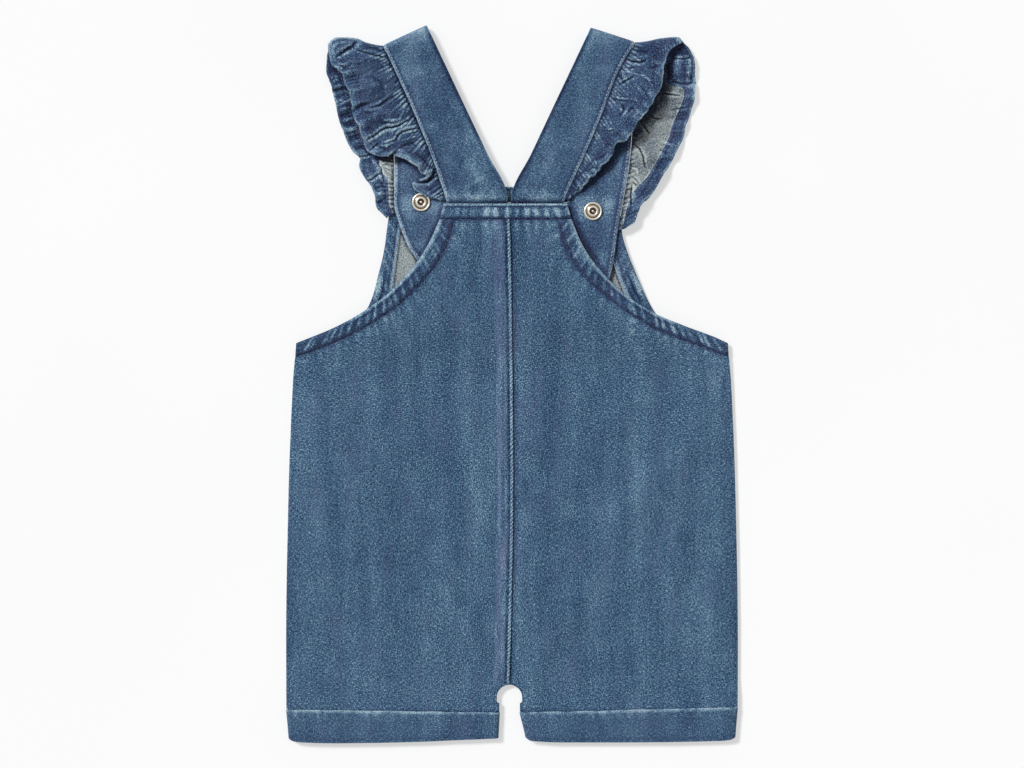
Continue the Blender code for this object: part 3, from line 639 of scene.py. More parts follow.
@dataclass
class Sheet:
    """A piece of cloth on a grid, thickened to both sides of its middle layer.

    Attributes:
        name: the piece's name.
        columns: cells across.
        rows: cells along.
        place: gives the sheet's points at shares across and along.
        finishes: materials of the face and of the wrong side.
        cut: what it is declared as, if it is a sheet of its own.
        closed: whether the first and last columns are sewn together.
        turned_from: share along from which the wrong side shows the face, as a turned hem does.
        rim: radius of the rounded edge.
        floor: the lowest height that a point may have.
        relief: size of the ridges that wear and of the hollows that take kept dye and painted shade, and how
            strongly a millimetre tells.
    """

    name: str
    columns: int
    rows: int
    place: Place
    finishes: tuple[Material, Material]
    # cut: what it stands for, if it is a sheet of its own.
    cut: Cut | None = None
    closed: bool = False
    turned_from: float = 2.0
    rim: float = 0.4
    floor: float = 0.05
    relief: tuple[float, float] = (1.1, 1.5)

    def make(self) -> Piece:
        """Builds the piece: a grid laid in place, given its wall, rounded at its rim and handed over."""
        bpy.ops.object.select_all(action="DESELECT")
        bpy.ops.mesh.primitive_grid_add(x_subdivisions=self.columns, y_subdivisions=self.rows, size=1.0)
        piece = bpy.context.object
        piece.name = piece.data.name = self.name
        flat = numbers(piece.data.vertices, "co", 3, float)
        column = np.rint((flat[0::3] + 0.5) * self.columns).astype(int)
        row = np.rint((flat[1::3] + 0.5) * self.rows).astype(int)
        shares = shares_of(self.columns, self.rows)
        laid = self.place(*shares)
        for material in self.finishes:
            piece.data.materials.append(material)
        if self.closed:
            self.close(piece, laid, row, column)
        else:
            self.thicken(piece, laid, shares, row, column)
        ride(piece)
        if self.cut:
            self.declare(self.cut)
        return piece

    def declare(self, cut: Cut) -> None:
        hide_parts(*cut.nodes)
        width, length = (size * MM for size in cut.flat)
        area = min(area_of(self.place) * cut.fullness, width * length)

    def lay(self, mesh: Mesh, points: Array, grain: Array) -> None:
        """Places the grid's points and stores the cloth's grain as a UV map."""
        move_points(mesh, points)
        uv = mesh.uv_layers[0] if mesh.uv_layers else mesh.uv_layers.new()
        uv.name = "cloth"
        grain = grain[numbers(mesh.loops, "vertex_index")] * PER_CM
        uv.data.foreach_set("uv", np.ascontiguousarray(grain, np.float32).ravel())

    def thicken(self, piece: Piece, laid: Laid, shares: list[Array], row: Array, column: Array) -> None:
        """Gives an open sheet its two sides, its wear and painted shade, and its rounded rim.

        Args:
            piece: the grid.
            laid: where it goes.
            shares: shares across and along at each of its points, in rows.
            row: each point's row.
            column: each point's column.
        """
        mesh = piece.data
        normals = grid_normals(laid.points)
        first_corner = (shares[0] < 0.2) & (shares[1] < 0.2)  # lies face up on every sheet
        if normals[first_corner][:, 2].sum() < 0:
            normals = -normals
        # rubbed dye on ridges, and kept dye with painted shade in hollows, on each side
        wear = [worn_and_shaded(laid, way, *self.relief) for way in (normals, -normals)]
        half = (normals * laid.thickness[..., None] / 2)[row, column]
        middle = laid.points[row, column]
        self.lay(mesh, middle + half, laid.grain[row, column])
        if mesh.polygons[0].normal.dot(half[mesh.polygons[0].vertices[0]]) < 0:
            mesh.flip_normals()
        faces, count = len(mesh.polygons), len(mesh.vertices)
        apply(piece, modifier(piece, "SOLIDIFY", thickness=float(laid.thickness.mean()) * MM))
        for part, values in zip(("worn", "darkening_and_shade"), zip(*wear)):
            write(mesh, part, np.concatenate([side[row, column] for side in values]))
        write(mesh, "violet", np.tile((laid.violet + 0 * laid.worn)[row, column], 2))
        both = np.concatenate([middle + half, middle - half])
        both[:, 2] = np.maximum(both[:, 2], self.floor)
        move_points(mesh, both)
        corners = numbers(mesh.loops, "vertex_index")[: 8 * faces].reshape(-1, 4)[faces:] % count
        up = shares[1][row, column][corners].mean(axis=1)
        index = np.zeros(len(mesh.polygons), np.int32)
        index[faces : 2 * faces] = up <= self.turned_from
        mesh.polygons.foreach_set("material_index", index)
        rim_edges = np.unique(numbers(mesh.loops, "edge_index")[8 * faces :])
        on_face = numbers(mesh.edges, "vertices", 2).reshape(-1, 2)[rim_edges] < count
        weights = np.zeros(len(mesh.edges))
        weights[rim_edges[on_face[:, 0] == on_face[:, 1]]] = 1.0
        write(mesh, "bevel_weight_edge", weights, "EDGE")
        apply(piece, modifier(piece, "BEVEL", limit_method="WEIGHT", width=self.rim * MM, segments=2))

    def close(self, piece: Piece, laid: Laid, row: Array, column: Array) -> None:
        """Sews a sheet's first and last columns together and gives the tube its wall."""
        mesh = piece.data
        self.lay(mesh, laid.points[row, column], laid.grain[row, column])
        write(mesh, "worn", np.clip(laid.worn, 0, 1)[row, column])
        write(mesh, "darkening_and_shade", np.clip(laid.darkening_and_shade, 0, 1)[row, column])
        pick(piece)
        bpy.ops.object.mode_set(mode="EDIT")
        bpy.ops.mesh.select_all(action="SELECT")
        bpy.ops.mesh.remove_doubles(threshold=0.01 * MM)
        bpy.ops.mesh.normals_make_consistent(inside=False)
        bpy.ops.object.mode_set(mode="OBJECT")
        thickness = float(laid.thickness.mean()) * MM
        wall = modifier(piece, "SOLIDIFY", thickness=thickness, offset=0.0, material_offset=1)
        rim = modifier(piece, "BEVEL", limit_method="ANGLE", width=self.rim * MM, segments=2)
        rim.angle_limit = math.radians(60)
        apply(piece, wall, rim)


def lifted(surface: Place, across: Array, up: Array, height: float) -> Array:
    """Points over a sheet, on the side of its face.

    Args:
        surface: the sheet.
        across: shares across it.
        up: shares along it.
        height: how far over the sheet's face they lie.

    Returns:
        The points, one a row.
    """
    step = 2e-3
    laid = surface(across, up)
    run = surface(across + step, up).points - surface(across - step, up).points
    rise = surface(across, up + step).points - surface(across, up - step).points
    normal = np.cross(run, rise)
    normal /= np.linalg.norm(normal, axis=-1, keepdims=True)
    normal *= np.sign(normal[len(normal) // 6, 2])  # every row starts on a stretch that lies face up
    return laid.points + normal * (laid.thickness[..., None] / 2 + height)


@dataclass
class Needlework:
    """Rows of stitches, sewn one row at a time and joined into one piece.

    Attributes:
        name: the piece's name.
        thread: its material.
        length: of one stitch.
        pitch: from one stitch to the next.
        width: of the thread.
        rows: the rows sewn so far.
    """

    name: str
    thread: Material
    length: float = 2.0
    pitch: float = 2.5
    width: float = 0.5
    rows: list[Piece] = field(default_factory=list)

    def stitch(self) -> Piece:
        """One stitch along +X: a short thread that dips into the cloth at both ends."""
        bpy.ops.object.select_all(action="DESELECT")
        radius, reach = self.width / 2 * MM, self.length / 2 * MM
        bpy.ops.mesh.primitive_cylinder_add(
            vertices=5, radius=radius, depth=2 * reach, rotation=(0.0, math.pi / 2, 0.0)
        )
        made = bpy.context.object
        bpy.ops.object.transform_apply(location=False, rotation=True, scale=False)
        bpy.ops.object.mode_set(mode="EDIT")
        bpy.ops.mesh.select_all(action="SELECT")
        bpy.ops.mesh.subdivide(number_cuts=2)
        bpy.ops.object.mode_set(mode="OBJECT")
        for vert in made.data.vertices:
            share = min(abs(vert.co.x) / reach, 1.0)
            slim = 1 - 0.45 * share**3
            vert.co.y *= slim
            vert.co.z = vert.co.z * slim - 1.5 * radius * share**3
            vert.co.x += reach
        return made

    def sew(self, points: Array) -> None:
        """Sews a row of stitches along points given in millimetres."""
        curve = bpy.data.curves.new("row", "CURVE")
        curve.dimensions = "3D"
        curve.twist_mode = "Z_UP"
        spline = curve.splines.new("POLY")
        spline.points.add(len(points) - 1)
        spline.points.foreach_set("co", np.c_[points * MM, np.ones(len(points))].ravel())
        path = bpy.data.objects.new("row", curve)
        bpy.context.scene.collection.objects.link(path)
        run = self.stitch()
        repeat = modifier(run, "ARRAY", use_relative_offset=False, use_constant_offset=True)
        repeat.count = max(int(np.linalg.norm(np.diff(points, axis=0), axis=1).sum() / self.pitch), 1)
        repeat.constant_offset_displace = (self.pitch * MM, 0.0, 0.0)
        apply(run, repeat, modifier(run, "CURVE", object=path))
        bpy.data.objects.remove(path)
        bpy.data.curves.remove(curve)
        self.rows.append(run)

    def make(self) -> Piece:
        """Joins the rows into one piece."""
        pick(self.rows[0])
        for run in self.rows:
            run.select_set(True)
        bpy.ops.object.join()
        piece = bpy.context.object
        piece.name = piece.data.name = self.name
        piece.data.materials.clear()
        piece.data.materials.append(self.thread)
        ride(piece)
        return piece


class Cloth:
    """A piece of the garment, which knows its surface, its sheet and its rows of stitches."""

    def place(self, across: Array, up: Array) -> Laid:
        """The middle layer at shares across and along the piece."""
        raise NotImplementedError

    def sheet(self, finishes: Finishes) -> Sheet:
        """What the piece is made as."""
        raise NotImplementedError

    def seams(self) -> Seams:
        """Shares across and along of each row of stitches, and how high it stands over the cloth."""
        return []

    def build(self, finishes: Finishes, needle: Needlework | None = None) -> None:
        """Makes the piece and sews it."""
        self.sheet(finishes).make()
        for across, up, height in self.seams():
            needle.sew(lifted(self.place, *np.broadcast_arrays(across, up), height))


# ---- Body ----

# Height and half width, or height and x, of the points of each line
SIDE_SEAM = table("-223 140.6; -160 140.8; -72 139.4; 0 136.6; 25.5 134.5")
BACK_ARMHOLE = both(
    table,
    """25.5 134.5; 35 111.1; 45.9 90.3; 57.8 72.4; 72.8 57.3; 88.7 47.2; 102.4 41""",
    """25.5 134.5; 29.4 126; 36.6 106.5; 43.9 89.4; 54.8 73.8; 67.4 61.8; 79.6 52.1; 89.7 46.3;
    102.4 41.2""",
)
FRONT_ARMHOLE = both(
    table,
    """25.5 134.5; 30.5 116; 37 102; 45.9 90.3; 61.9 81.5; 83.8 75.7; 99.4 73.6; 113.2 71.5""",
    """25.5 134.5; 30.5 116; 36 102; 43.6 90.6; 65 82.9; 83.8 75.5; 93.3 72.8; 113.2 70.8""",
)
CENTRE_SEAM = table("-187.5 -1.7; -160 -0.8; -65 0.8; 84 -0.8; 123 -2.6")
BACK_FOLDS = folds(
    """20 1.1 126 -14 52 -112; 14 0.7 96 26 58 -34; 18 0.6 104 -70 84 -180; 20 0.8 -126 -4 -84 -96;
    15 0.7 -86 34 -66 -46; 16 0.6 -30 -60 -52 -150; 5 0.6 -26 98 -30 52; 4 0.5 -14 98 -16 58;
    4 0.5 10 98 12 60; 5 0.6 20 98 25 54; 9 0.9 -12 -182 -44 -126; 9 0.9 10 -184 42 -132"""
)
# Where along the neck hem each pucker stands, half its width and its height
NECK_PUCKERS = table(
    """9.4 1.7 0.4; 14.4 1.6 0.45; 19.6 1.7 0.35; 28.6 2.2 1; 34.8 2.1 0.95; 42.3 1.6 0.5; 48 1.6 0.45;
    54.2 2.1 1; 61 2 0.95; 66.7 1.7 0.75; 74.5 2 0.95"""
)
NECK_SPAN = 82.0  # length of the row of neck puckers
LAYERS = ("front", "back")  # names of the front and the back, by whether it is the back
# How much wider the armhole hems are somewhere, as a share, at what height and over what length
BACK_SWELL = (0.26, 84.0, 19.0)
FRONT_SWELL = {Side.LEFT: (0.46, 50.0, 22.0), Side.RIGHT: (0.50, 60.0, 24.0)}
# Distance from x = 0 of the cuffs' edges at the foot and at the top
CUFF_OUTER = (139.4, 141.0)
CUFF_INNER = {Side.LEFT: (8.4, 7.6), Side.RIGHT: (8.4, 4.6)}
CUFF_TOP = {Side.LEFT: -202.8, Side.RIGHT: -201.4}
# Distance from x = 0 and height of the cuffs' foot
CUFF_FOOT = both(
    table,
    """9 -220.8; 31.6 -221.8; 71.5 -223.3; 111.4 -223.8; 132 -223.2; 136.2 -222.6; 138.5 -221.2;
    139.6 -219.2""",
    """8.4 -220; 12 -222.4; 32.4 -223.3; 72.3 -223.3; 112 -222.8; 132 -222.2; 136.2 -221.6; 138.5 -220.4;
    139.6 -218.4""",
)


@dataclass(frozen=True)
class Body:
    """The outline that the panels and hems share, and how high each layer lies."""

    cloth: float = 1.2
    seam_gap: float = 0.12
    panel_foot: float = -219.2
    crotch_x: float = -1.6
    crotch_y: float = -195.4
    crotch_radius: float = 7.9
    cuff_corner: float = -220.4
    cuff_top_at_inseam: float = -204.8
    cuff_wrap: float = 3.1
    inseam_tuck: tuple[float, float] = (194.5, 199.0)
    underarm: float = 25.5
    neck: float = 102.4

    def lean(self, y: Array) -> Array:
        """How far the centre line of the bib lies to the left."""
        return -4.0 * ramp(y, 35.0, 70.0)

    def cuff_edge(self, end: tuple[float, float], y: Array) -> Array:
        """Distance from x = 0 of a cuff's edge at a height."""
        share = np.clip((y - self.cuff_corner) / (self.cuff_top_at_inseam - self.cuff_corner), 0.0, 1.0)
        return end[0] + (end[1] - end[0]) * share

    def inner(self, y: Array, side: Side, back: bool) -> Array:
        """The x of a panel's inner edge: the centre seam, then the crotch's arch and the inseam."""
        seam = along(CENTRE_SEAM, y) + side.value * self.seam_gap / 2
        drop = np.maximum(y - self.crotch_y, 0.0)
        arch = side.value * self.crotch_x + np.sqrt(np.maximum(self.crotch_radius**2 - drop**2, 0.0))
        edge = self.cuff_edge(CUFF_INNER[side], y)
        if back:
            arch = arch + (edge + 0.3 - arch) * ramp(-y, 198.2, 199.2)
            arch = arch + self.cuff_wrap * ramp(-y, 203.9, 204.6)
        else:
            arch = arch + np.maximum(edge + self.cuff_wrap - arch, 0.0) * ramp(-y, *self.inseam_tuck)
        return np.where(y > self.crotch_y + self.crotch_radius, seam, side.value * arch)

    def half(self, y: Array, side: Side = Side.LEFT) -> Array:
        """Half the body's width below the underarm."""
        tucked = self.cuff_edge(CUFF_OUTER, y) - self.cuff_wrap
        half = along(SIDE_SEAM, y)
        return half + (tucked - half) * ramp(CUFF_TOP[side] - y, -0.3, 0.3)

    def heights(self, rows: tuple[int, ...], armhole: "ArmholeLine") -> Array:
        """Heights of a panel's rows, close together where its edges turn in to the cuff and at the crotch.

        Args:
            rows: how many stand beside the cuff, the crotch's arch, the rest of the body and the armhole.
            armhole: the line that the panel ends at.

        Returns:
            The heights, from the foot up.
        """
        foot, arch, torso, bib = rows
        shares = np.linspace(0, 1, foot + 1)[:-1]
        angles = np.linspace(0, math.pi / 2, arch + 1)[:-1]
        above_arch = self.crotch_y + self.crotch_radius + 0.05
        return np.concatenate(
            [
                np.interp(shares, (0, 0.08, 0.95, 1), (self.panel_foot, -204.9, -197.6, self.crotch_y)),
                self.crotch_y + self.crotch_radius * np.sin(angles),
                np.linspace(above_arch, armhole.points[0, 1], torso),
                armhole.at(np.linspace(0, 1, bib + 1)[1:])[1],
            ]
        )

    def level(self, back: bool, x: Array, y: Array, edge: Array) -> Array:
        """Height of the underside of the front or the back, by the distance from the nearest seam."""
        if not back:
            return 1.8 * ramp(y, 40.0, 78.0) + 1.55 * ramp(-y, 186.0, 199.0) + 0 * x
        rounded = 1 - np.exp(-np.maximum(edge, 0.0) / 5.0)
        level = 1.6 + 1.2 * rounded + 0.6 * ramp(y, 4.0, 18.0) * (1 - rounded)
        over_tails = ramp(y, 6.0, 44.0) * (1 - ramp(abs(x - self.lean(y)), 76.0, 126.0))
        level = level + (7.0 - level) * over_tails
        level = level + (3.05 - level) * ramp(-y, 180.0, 197.0)
        return level + folded(BACK_FOLDS, x, y) * ramp(y, -200.0, -186.0) * rounded


BODY = Body()


def armhole_of(side: Side, back: bool) -> tuple[Array, float, tuple[float, ...]]:
    """An armhole's edge, the depth of its hem, and where the hem swells."""
    if back:
        return BACK_ARMHOLE[side], 8.5, BACK_SWELL
    return FRONT_ARMHOLE[side], 8.0, FRONT_SWELL[side]


class ArmholeLine:
    """A line sewn inside an armhole's edge, from the underarm up to the neck."""

    def __init__(self, armhole: Array, depth: float, swell: tuple[float, ...] = (0.0, 0.0, 1.0)) -> None:
        """Works the line out, at a depth inside the armhole's edge that swells somewhere."""
        foot, neck = armhole[0, 0], armhole[-1, 0]
        heights = np.linspace(foot, neck, 90)
        halves = along(armhole, heights)
        run_x, run_y = np.gradient(halves), np.gradient(heights)
        length = np.hypot(run_x, run_y)
        from_side = ramp(heights, foot, foot + 5.0)[:, None]
        to_neck = ramp(heights, neck - 12.0, neck)[:, None]
        wider = 1 + swell[0] * bump(heights, *swell[1:])[:, None]
        way = np.c_[-run_y / length, run_x / length] * from_side + np.array([0.08, -1.0]) * (1 - from_side)
        way = way * (1 - to_neck) + np.array([-1.0, 0.0]) * to_neck
        way = way / np.linalg.norm(way, axis=1, keepdims=True)
        self.points = np.c_[halves, heights] + way * depth * wider
        steps = np.hypot(*np.diff(self.points, axis=0).T)
        self.stations = np.concatenate([[0.0], np.cumsum(steps)])
        self.length = float(self.stations[-1])

    def at(self, share: Array) -> tuple[Array, Array]:
        """Half width and height at a share of the line's length."""
        station = share * self.length
        return tuple(np.interp(station, self.stations, self.points[:, axis]) for axis in (0, 1))

    def outer(self, y: Array) -> Array:
        """Half width of the line at a height."""
        return np.interp(y, self.points[:, 1], self.points[:, 0])

    def nearest(self, half: Array, y: Array) -> tuple[Array, Array]:
        """Distance from points to the line, and how far along it they lie."""
        away = np.hypot(half[..., None] - self.points[:, 0], y[..., None] - self.points[:, 1])
        return away.min(axis=-1), self.stations[away.argmin(axis=-1)]


class Panel(Cloth):
    """One half of the front or the back, leg and bib in one piece."""

    columns: int
    length: float
    floor: float = 0.05

    def __init__(self, side: Side, back: bool, rows: tuple[int, ...]) -> None:
        """Works out the line of the armhole's stitches and the rows."""
        self.side, self.back = side, back
        armhole, depth, swell = armhole_of(side, back)
        self.line = ArmholeLine(armhole, depth + BODY.seam_gap, swell)
        self.heights = BODY.heights(rows, self.line)

    def outline(self, up: Array) -> tuple[Array, ...]:
        """Height, x of the inner edge, lean of the bib and signed width of the panel's rows."""
        y = np.interp(up, np.linspace(0, 1, len(self.heights)), self.heights)
        inner, lean = BODY.inner(y, self.side, self.back), BODY.lean(y)
        half = np.where(y <= self.line.points[0, 1], BODY.half(y, self.side), self.line.outer(y))
        return y, inner, lean, self.side.value * half + lean - inner

    def sheet(self, finishes: Finishes) -> Sheet:
        """The panel: the back lies face up on the front, and the front lies on its face on the floor."""
        which, word, rows = LAYERS[self.back], self.side.word, len(self.heights) - 1
        if self.back:
            below, sides = f"cloth_front_{word}", (finishes.face, finishes.wrong)
        else:
            below, sides = "floor", (finishes.wrong, finishes.face)
        cut = Cut((f"{which}_panel_{word}",), (150, self.length), below, Hold.LAID)
        return Sheet(f"cloth_{which}_{word}", self.columns, rows, self.place, sides, cut, floor=self.floor)


class FrontHalf(Panel):
    """One half of the front, lying on its face."""

    columns: int = 46
    length: float = 345.0
    floor: float = 0.0

    def __init__(self, side: Side) -> None:
        """Sets out the panel."""
        super().__init__(side, False, (12, 10, 70, 56))

    def place(self, across: Array, up: Array) -> Laid:
        """The panel's middle layer at shares from its inner edge outwards and from its foot up."""
        y, inner, lean, width = self.outline(up)
        x = inner + width * across
        on_bib = ramp(y, 46, 84)
        level = BODY.level(False, x, y, x) + on_bib * (0.10 * drift(x, y, 11.0, 51) - 0.08)
        away, _ = self.line.nearest(abs(x - lean), y)
        # painted shadow: a dark line along the armhole hem's stitched edge, and beside the strap inside the
        # bib
        darkening_and_shade = (0.9 * bump(away, 0.2, 0.6) + 0.2 * bump(away, 0.0, 2.2)) * (y > self.line.points[0, 1])
        darkening_and_shade = darkening_and_shade + strap_edge_shadow(self.side, x, y) - 0.12
        points = stacked(x, y, level + BODY.cloth / 2)
        return Laid(points, stacked(x, y), np.full_like(x, BODY.cloth), 0.12 * drift(x, y, 8.0, 52), darkening_and_shade)


class BackHalf(Panel):
    """One half of the back, with its folds and the gathers beside its hems."""

    columns: int = 100
    length: float = 335.0

    def __init__(self, side: Side) -> None:
        """Sets out the panel and its gathers."""
        super().__init__(side, True, (18, 14, 144, 84))
        self.gathers = Gathers(self.line.length, 22, 6.0, -0.35, seed=11 + side.value)
        self.neck_gathers = Gathers(NECK_SPAN, len(NECK_PUCKERS), 8.0, told=NECK_PUCKERS)

    def place(self, across: Array, up: Array) -> Laid:
        """The panel's middle layer at shares from its inner edge outwards and from its foot up."""
        y, inner, lean, width = self.outline(up)
        distance = abs(width) * (across - 0.06 * np.sin(TURN * across))
        x = inner + self.side.value * distance
        from_centre = abs(x - lean)
        edge = np.minimum(BODY.half(y) - from_centre, distance + 40 * ramp(y, -196, -184))
        seam_side = ramp(y, -195, -181)
        away, station = self.line.nearest(from_centre, y)
        below_neck, above_cuff = BODY.neck - y, y - BODY.cuff_top_at_inseam
        puckers = self.gathers.height(station, away) * (y > self.line.points[0, 1] - 30)
        neck = self.neck_gathers.height(x - lean + NECK_SPAN / 2, below_neck)
        neck = neck * (from_centre < 60) * ramp(y, 40, 70)
        to_seam = np.minimum(away + 100 * (y < self.line.points[0, 1] - 1), np.maximum(below_neck, 0))
        level = BODY.level(True, x, y, edge)
        if self.side is Side.LEFT:
            level = level + 0.7 * (1 - ramp(distance, 7.4, 11.0)) * seam_side
        level = level + 0.34 * puckers + 0.40 * neck - 0.12 * bump(to_seam, 0.0, 1.1)
        level = level + 0.13 * drift(x, y, 17.0, 5) + 0.07 * drift(x, y, 6.5, 6)
        level = level + 0.16 * drift(x, y, 5.0, 8) * bump(above_cuff, 3.0, 7.0)
        worn = 0.80 * puckers * ramp(away, 0.3, 2.0) * (0.7 + 0.7 * drift(x, y, 4.0, 34))
        worn = worn + 0.85 * neck * ramp(below_neck, 0.2, 1.5) + self.seam_wear(distance, y) * seam_side
        worn = worn + 0.25 * bump(BODY.half(y) - from_centre, 0.0, 1.2) * (y < BODY.underarm - 8)
        worn = worn + 0.16 * (drift(x, y, 9.0, 31) * drift(x, y * 0.25, 4.0, 32))
        worn = worn + 0.10 * drift(x * 2.2, y * 0.3, 22.0, 35)
        # darker beside the hems' stitches, partly kept dye and partly painted shade; the line over the cuff's
        # top edge is painted shade where the leg goes under the cuff
        darkening_and_shade = 0.50 * bump(to_seam, 0.0, 1.7) * (1 - 0.5 * puckers) + self.seam_dye_and_shadow(distance, y) * seam_side
        darkening_and_shade = darkening_and_shade + 0.45 * bump(above_cuff, 0.0, 1.6) + 0.2 * bump(edge, 0.0, 2.0)
        darkening_and_shade = darkening_and_shade + 0.16 * ramp(y, 20, 110) * (0.6 + 0.4 * drift(x, y, 14.0, 33))
        violet = 0.12 * bump(to_seam, 0.0, 1.6)
        if self.side is Side.LEFT:
            streaks = np.clip(0.55 + 0.9 * drift(distance * 7, y * 0.5, 9.0, 45), 0, 1)
            violet = violet + 0.42 * self.allowance(distance) * streaks * seam_side
        points = stacked(x, y, level + BODY.cloth / 2)
        return Laid(points, stacked(x, y), np.full_like(x, BODY.cloth), worn, darkening_and_shade, violet)

    def allowance(self, distance: Array) -> Array:
        """1 where the seam allowance lies under the cloth."""
        return ramp(distance, 2.8, 4.4) * (1 - ramp(distance, 9.0, 11.5))

    def seam_wear(self, distance: Array, y: Array) -> Array:
        """How worn the cloth is over the edge of the seam allowance."""
        if self.side is Side.RIGHT:
            return 0.18 * bump(distance, 4.0, 2.2) * (0.6 + 0.6 * drift(distance, y, 7.0, 41))
        return self.allowance(distance) * (0.08 + 0.34 * drift(distance * 6, y * 0.5, 7.0, 44))

    def seam_dye_and_shadow(self, distance: Array, y: Array) -> Array:
        """How much kept dye and painted shadow darken the groove beside the centre seam."""
        if self.side is Side.RIGHT:
            return 0.75 * bump(distance, 0.0, 0.8) + 0.15 * bump(distance, 1.6, 1.6)
        return (0.75 + 0.6 * drift(distance, y, 2.2, 43)) * bump(distance, 2.6, 0.8)


class ArmholeHem(Cloth):
    """A turned hem round one armhole, twisted into slanting puckers by its stitches."""

    cloth: float = 1.8
    rows: int = 18

    def __init__(self, side: Side, back: bool) -> None:
        """Works out both edges and the puckers."""
        self.side, self.back = side, back
        armhole, self.depth, self.swell = armhole_of(side, back)
        self.edge = ArmholeLine(armhole, 0.0)
        self.stitched = ArmholeLine(armhole, self.depth, self.swell)
        count = 22 if back else 15
        self.puckers = Gathers(self.stitched.length, count, 60.0, 1.05, seed=11 + side.value)

    def place(self, across: Array, up: Array) -> Laid:
        """The hem's middle layer at shares from the underarm to the neck, and from stitches to edge."""
        half, y = (
            near + (far - near) * up for near, far in zip(self.stitched.at(across), self.edge.at(across))
        )
        x = self.side.value * half + BODY.lean(y)
        level = BODY.level(self.back, x, y, BODY.half(y) - half)
        out = up * self.depth
        ridges = self.puckers.height(across * self.stitched.length, out)
        belly = np.sin(math.pi * np.clip(up, 0, 1)) ** 0.7
        strength, groove = (0.62, 0.55) if self.back else (0.16, 0.15)
        ends = ramp(across, 0.0, 0.02) * (1 - ramp(across, 0.97, 1.0))
        lift = strength * (ridges - 0.45) * belly * ends + 0.18 * belly
        sunk = groove * bump(out, 0.2, 1.3)
        dye = self.dye(across, out, ridges)
        if not self.back:
            sunk = sunk + 0.35 * bump(across, 0.57, 0.055) * bump(out, 4.6, 0.5)
            # painted shadow beside the strap inside the bib
            dye = dye + 1.2 * strap_edge_shadow(self.side, x, y)
        thickness = self.cloth + lift - sunk - 0.55 * ramp(up, 0.84, 1.0)
        grain = stacked(x, y) if self.back else stacked(y, x)
        violet = 0.06 * bump(out, 1.2, 1.6) + 0.05
        points = stacked(x, y, level + thickness / 2)
        return Laid(points, grain, thickness, self.wear(across, out, ridges), dye, violet)

    def wear(self, across: Array, out: Array, ridges: Array) -> Array:
        """How worn the hem is: on the ridges, and along its outer fold near the neck."""
        if not self.back:
            inner = 1.7 * bump(out, 0.8, 1.0) * ramp(across, 0.36, 0.46)
            underarm = 1.2 * bump(across, 0.57, 0.05) * bump(out, 7.0, 1.4)
            return inner + underarm + 0.35 * ridges * bump(out, 4.0, 3.0)
        to_neck = ramp(across, 0.62, 0.76)
        wider = to_neck * self.side.pick(0.3, 0.8)
        rim = bump(out, self.depth - 0.5 - 0.6 * wider, 0.95 + wider) * ramp(across, 0.24, 0.34)
        rim = rim * (1.15 + 0.3 * drift(across * 120, out, 7.0, 61))
        dashes = ridges * bump(out, 4.4, 2.3) * (0.75 + 0.55 * drift(across * 130, out, 2.6, 62))
        streaks = np.maximum(drift(across * 16, out * 1.1, 1.0, 64), 0) * to_neck * ramp(out, 1.5, 3.0)
        return rim + 0.85 * np.maximum(dashes - 0.15, 0.0) * (1 - 0.8 * to_neck) + 0.7 * streaks

    def dye(self, across: Array, out: Array, ridges: Array) -> Array:
        """How much the hem darkens: kept dye in the valleys and along its stitches, and painted shadow in the
        front's dip at the underarm.
        """
        valley = 0.42 * (1 - np.clip(ridges, 0, 1))
        if not self.back:
            # painted shadow in the dip at the underarm
            beside = 2.4 * bump(across, 0.57, 0.055) * bump(out, 4.6, 0.5)
            return 0.5 * valley + 0.8 * bump(out, 2.1, 0.7) + beside
        under = bump(out, self.depth - 2.2, 0.8) * ramp(across, 0.24, 0.34)
        return valley + (0.55 + 0.5 * drift(across * 140, out, 1.6, 63)) * bump(out, 1.0, 1.3) + 0.6 * under

    def sheet(self, finishes: Finishes) -> Sheet:
        """The hem, coarser at the front, where little of it shows."""
        which, word = LAYERS[self.back], self.side.word
        flat = (self.depth * (1 + 0.6 * self.swell[0]) + 2.0, self.edge.length + 2)
        cut = Cut((f"{which}_armhole_hem_{word}",), flat, f"cloth_front_{word}")
        columns, cloth = 250 if self.back else 125, (finishes.face, finishes.face)
        return Sheet(f"cloth_{which}_armhole_hem_{word}", columns, self.rows, self.place, cloth, cut)

    def seams(self) -> Seams:
        """The row of stitches that holds the hem, which the cloth hides at the front."""
        return [(np.linspace(0.008, 0.992, 260), 1.1 / self.depth, 0.10)] if self.back else []


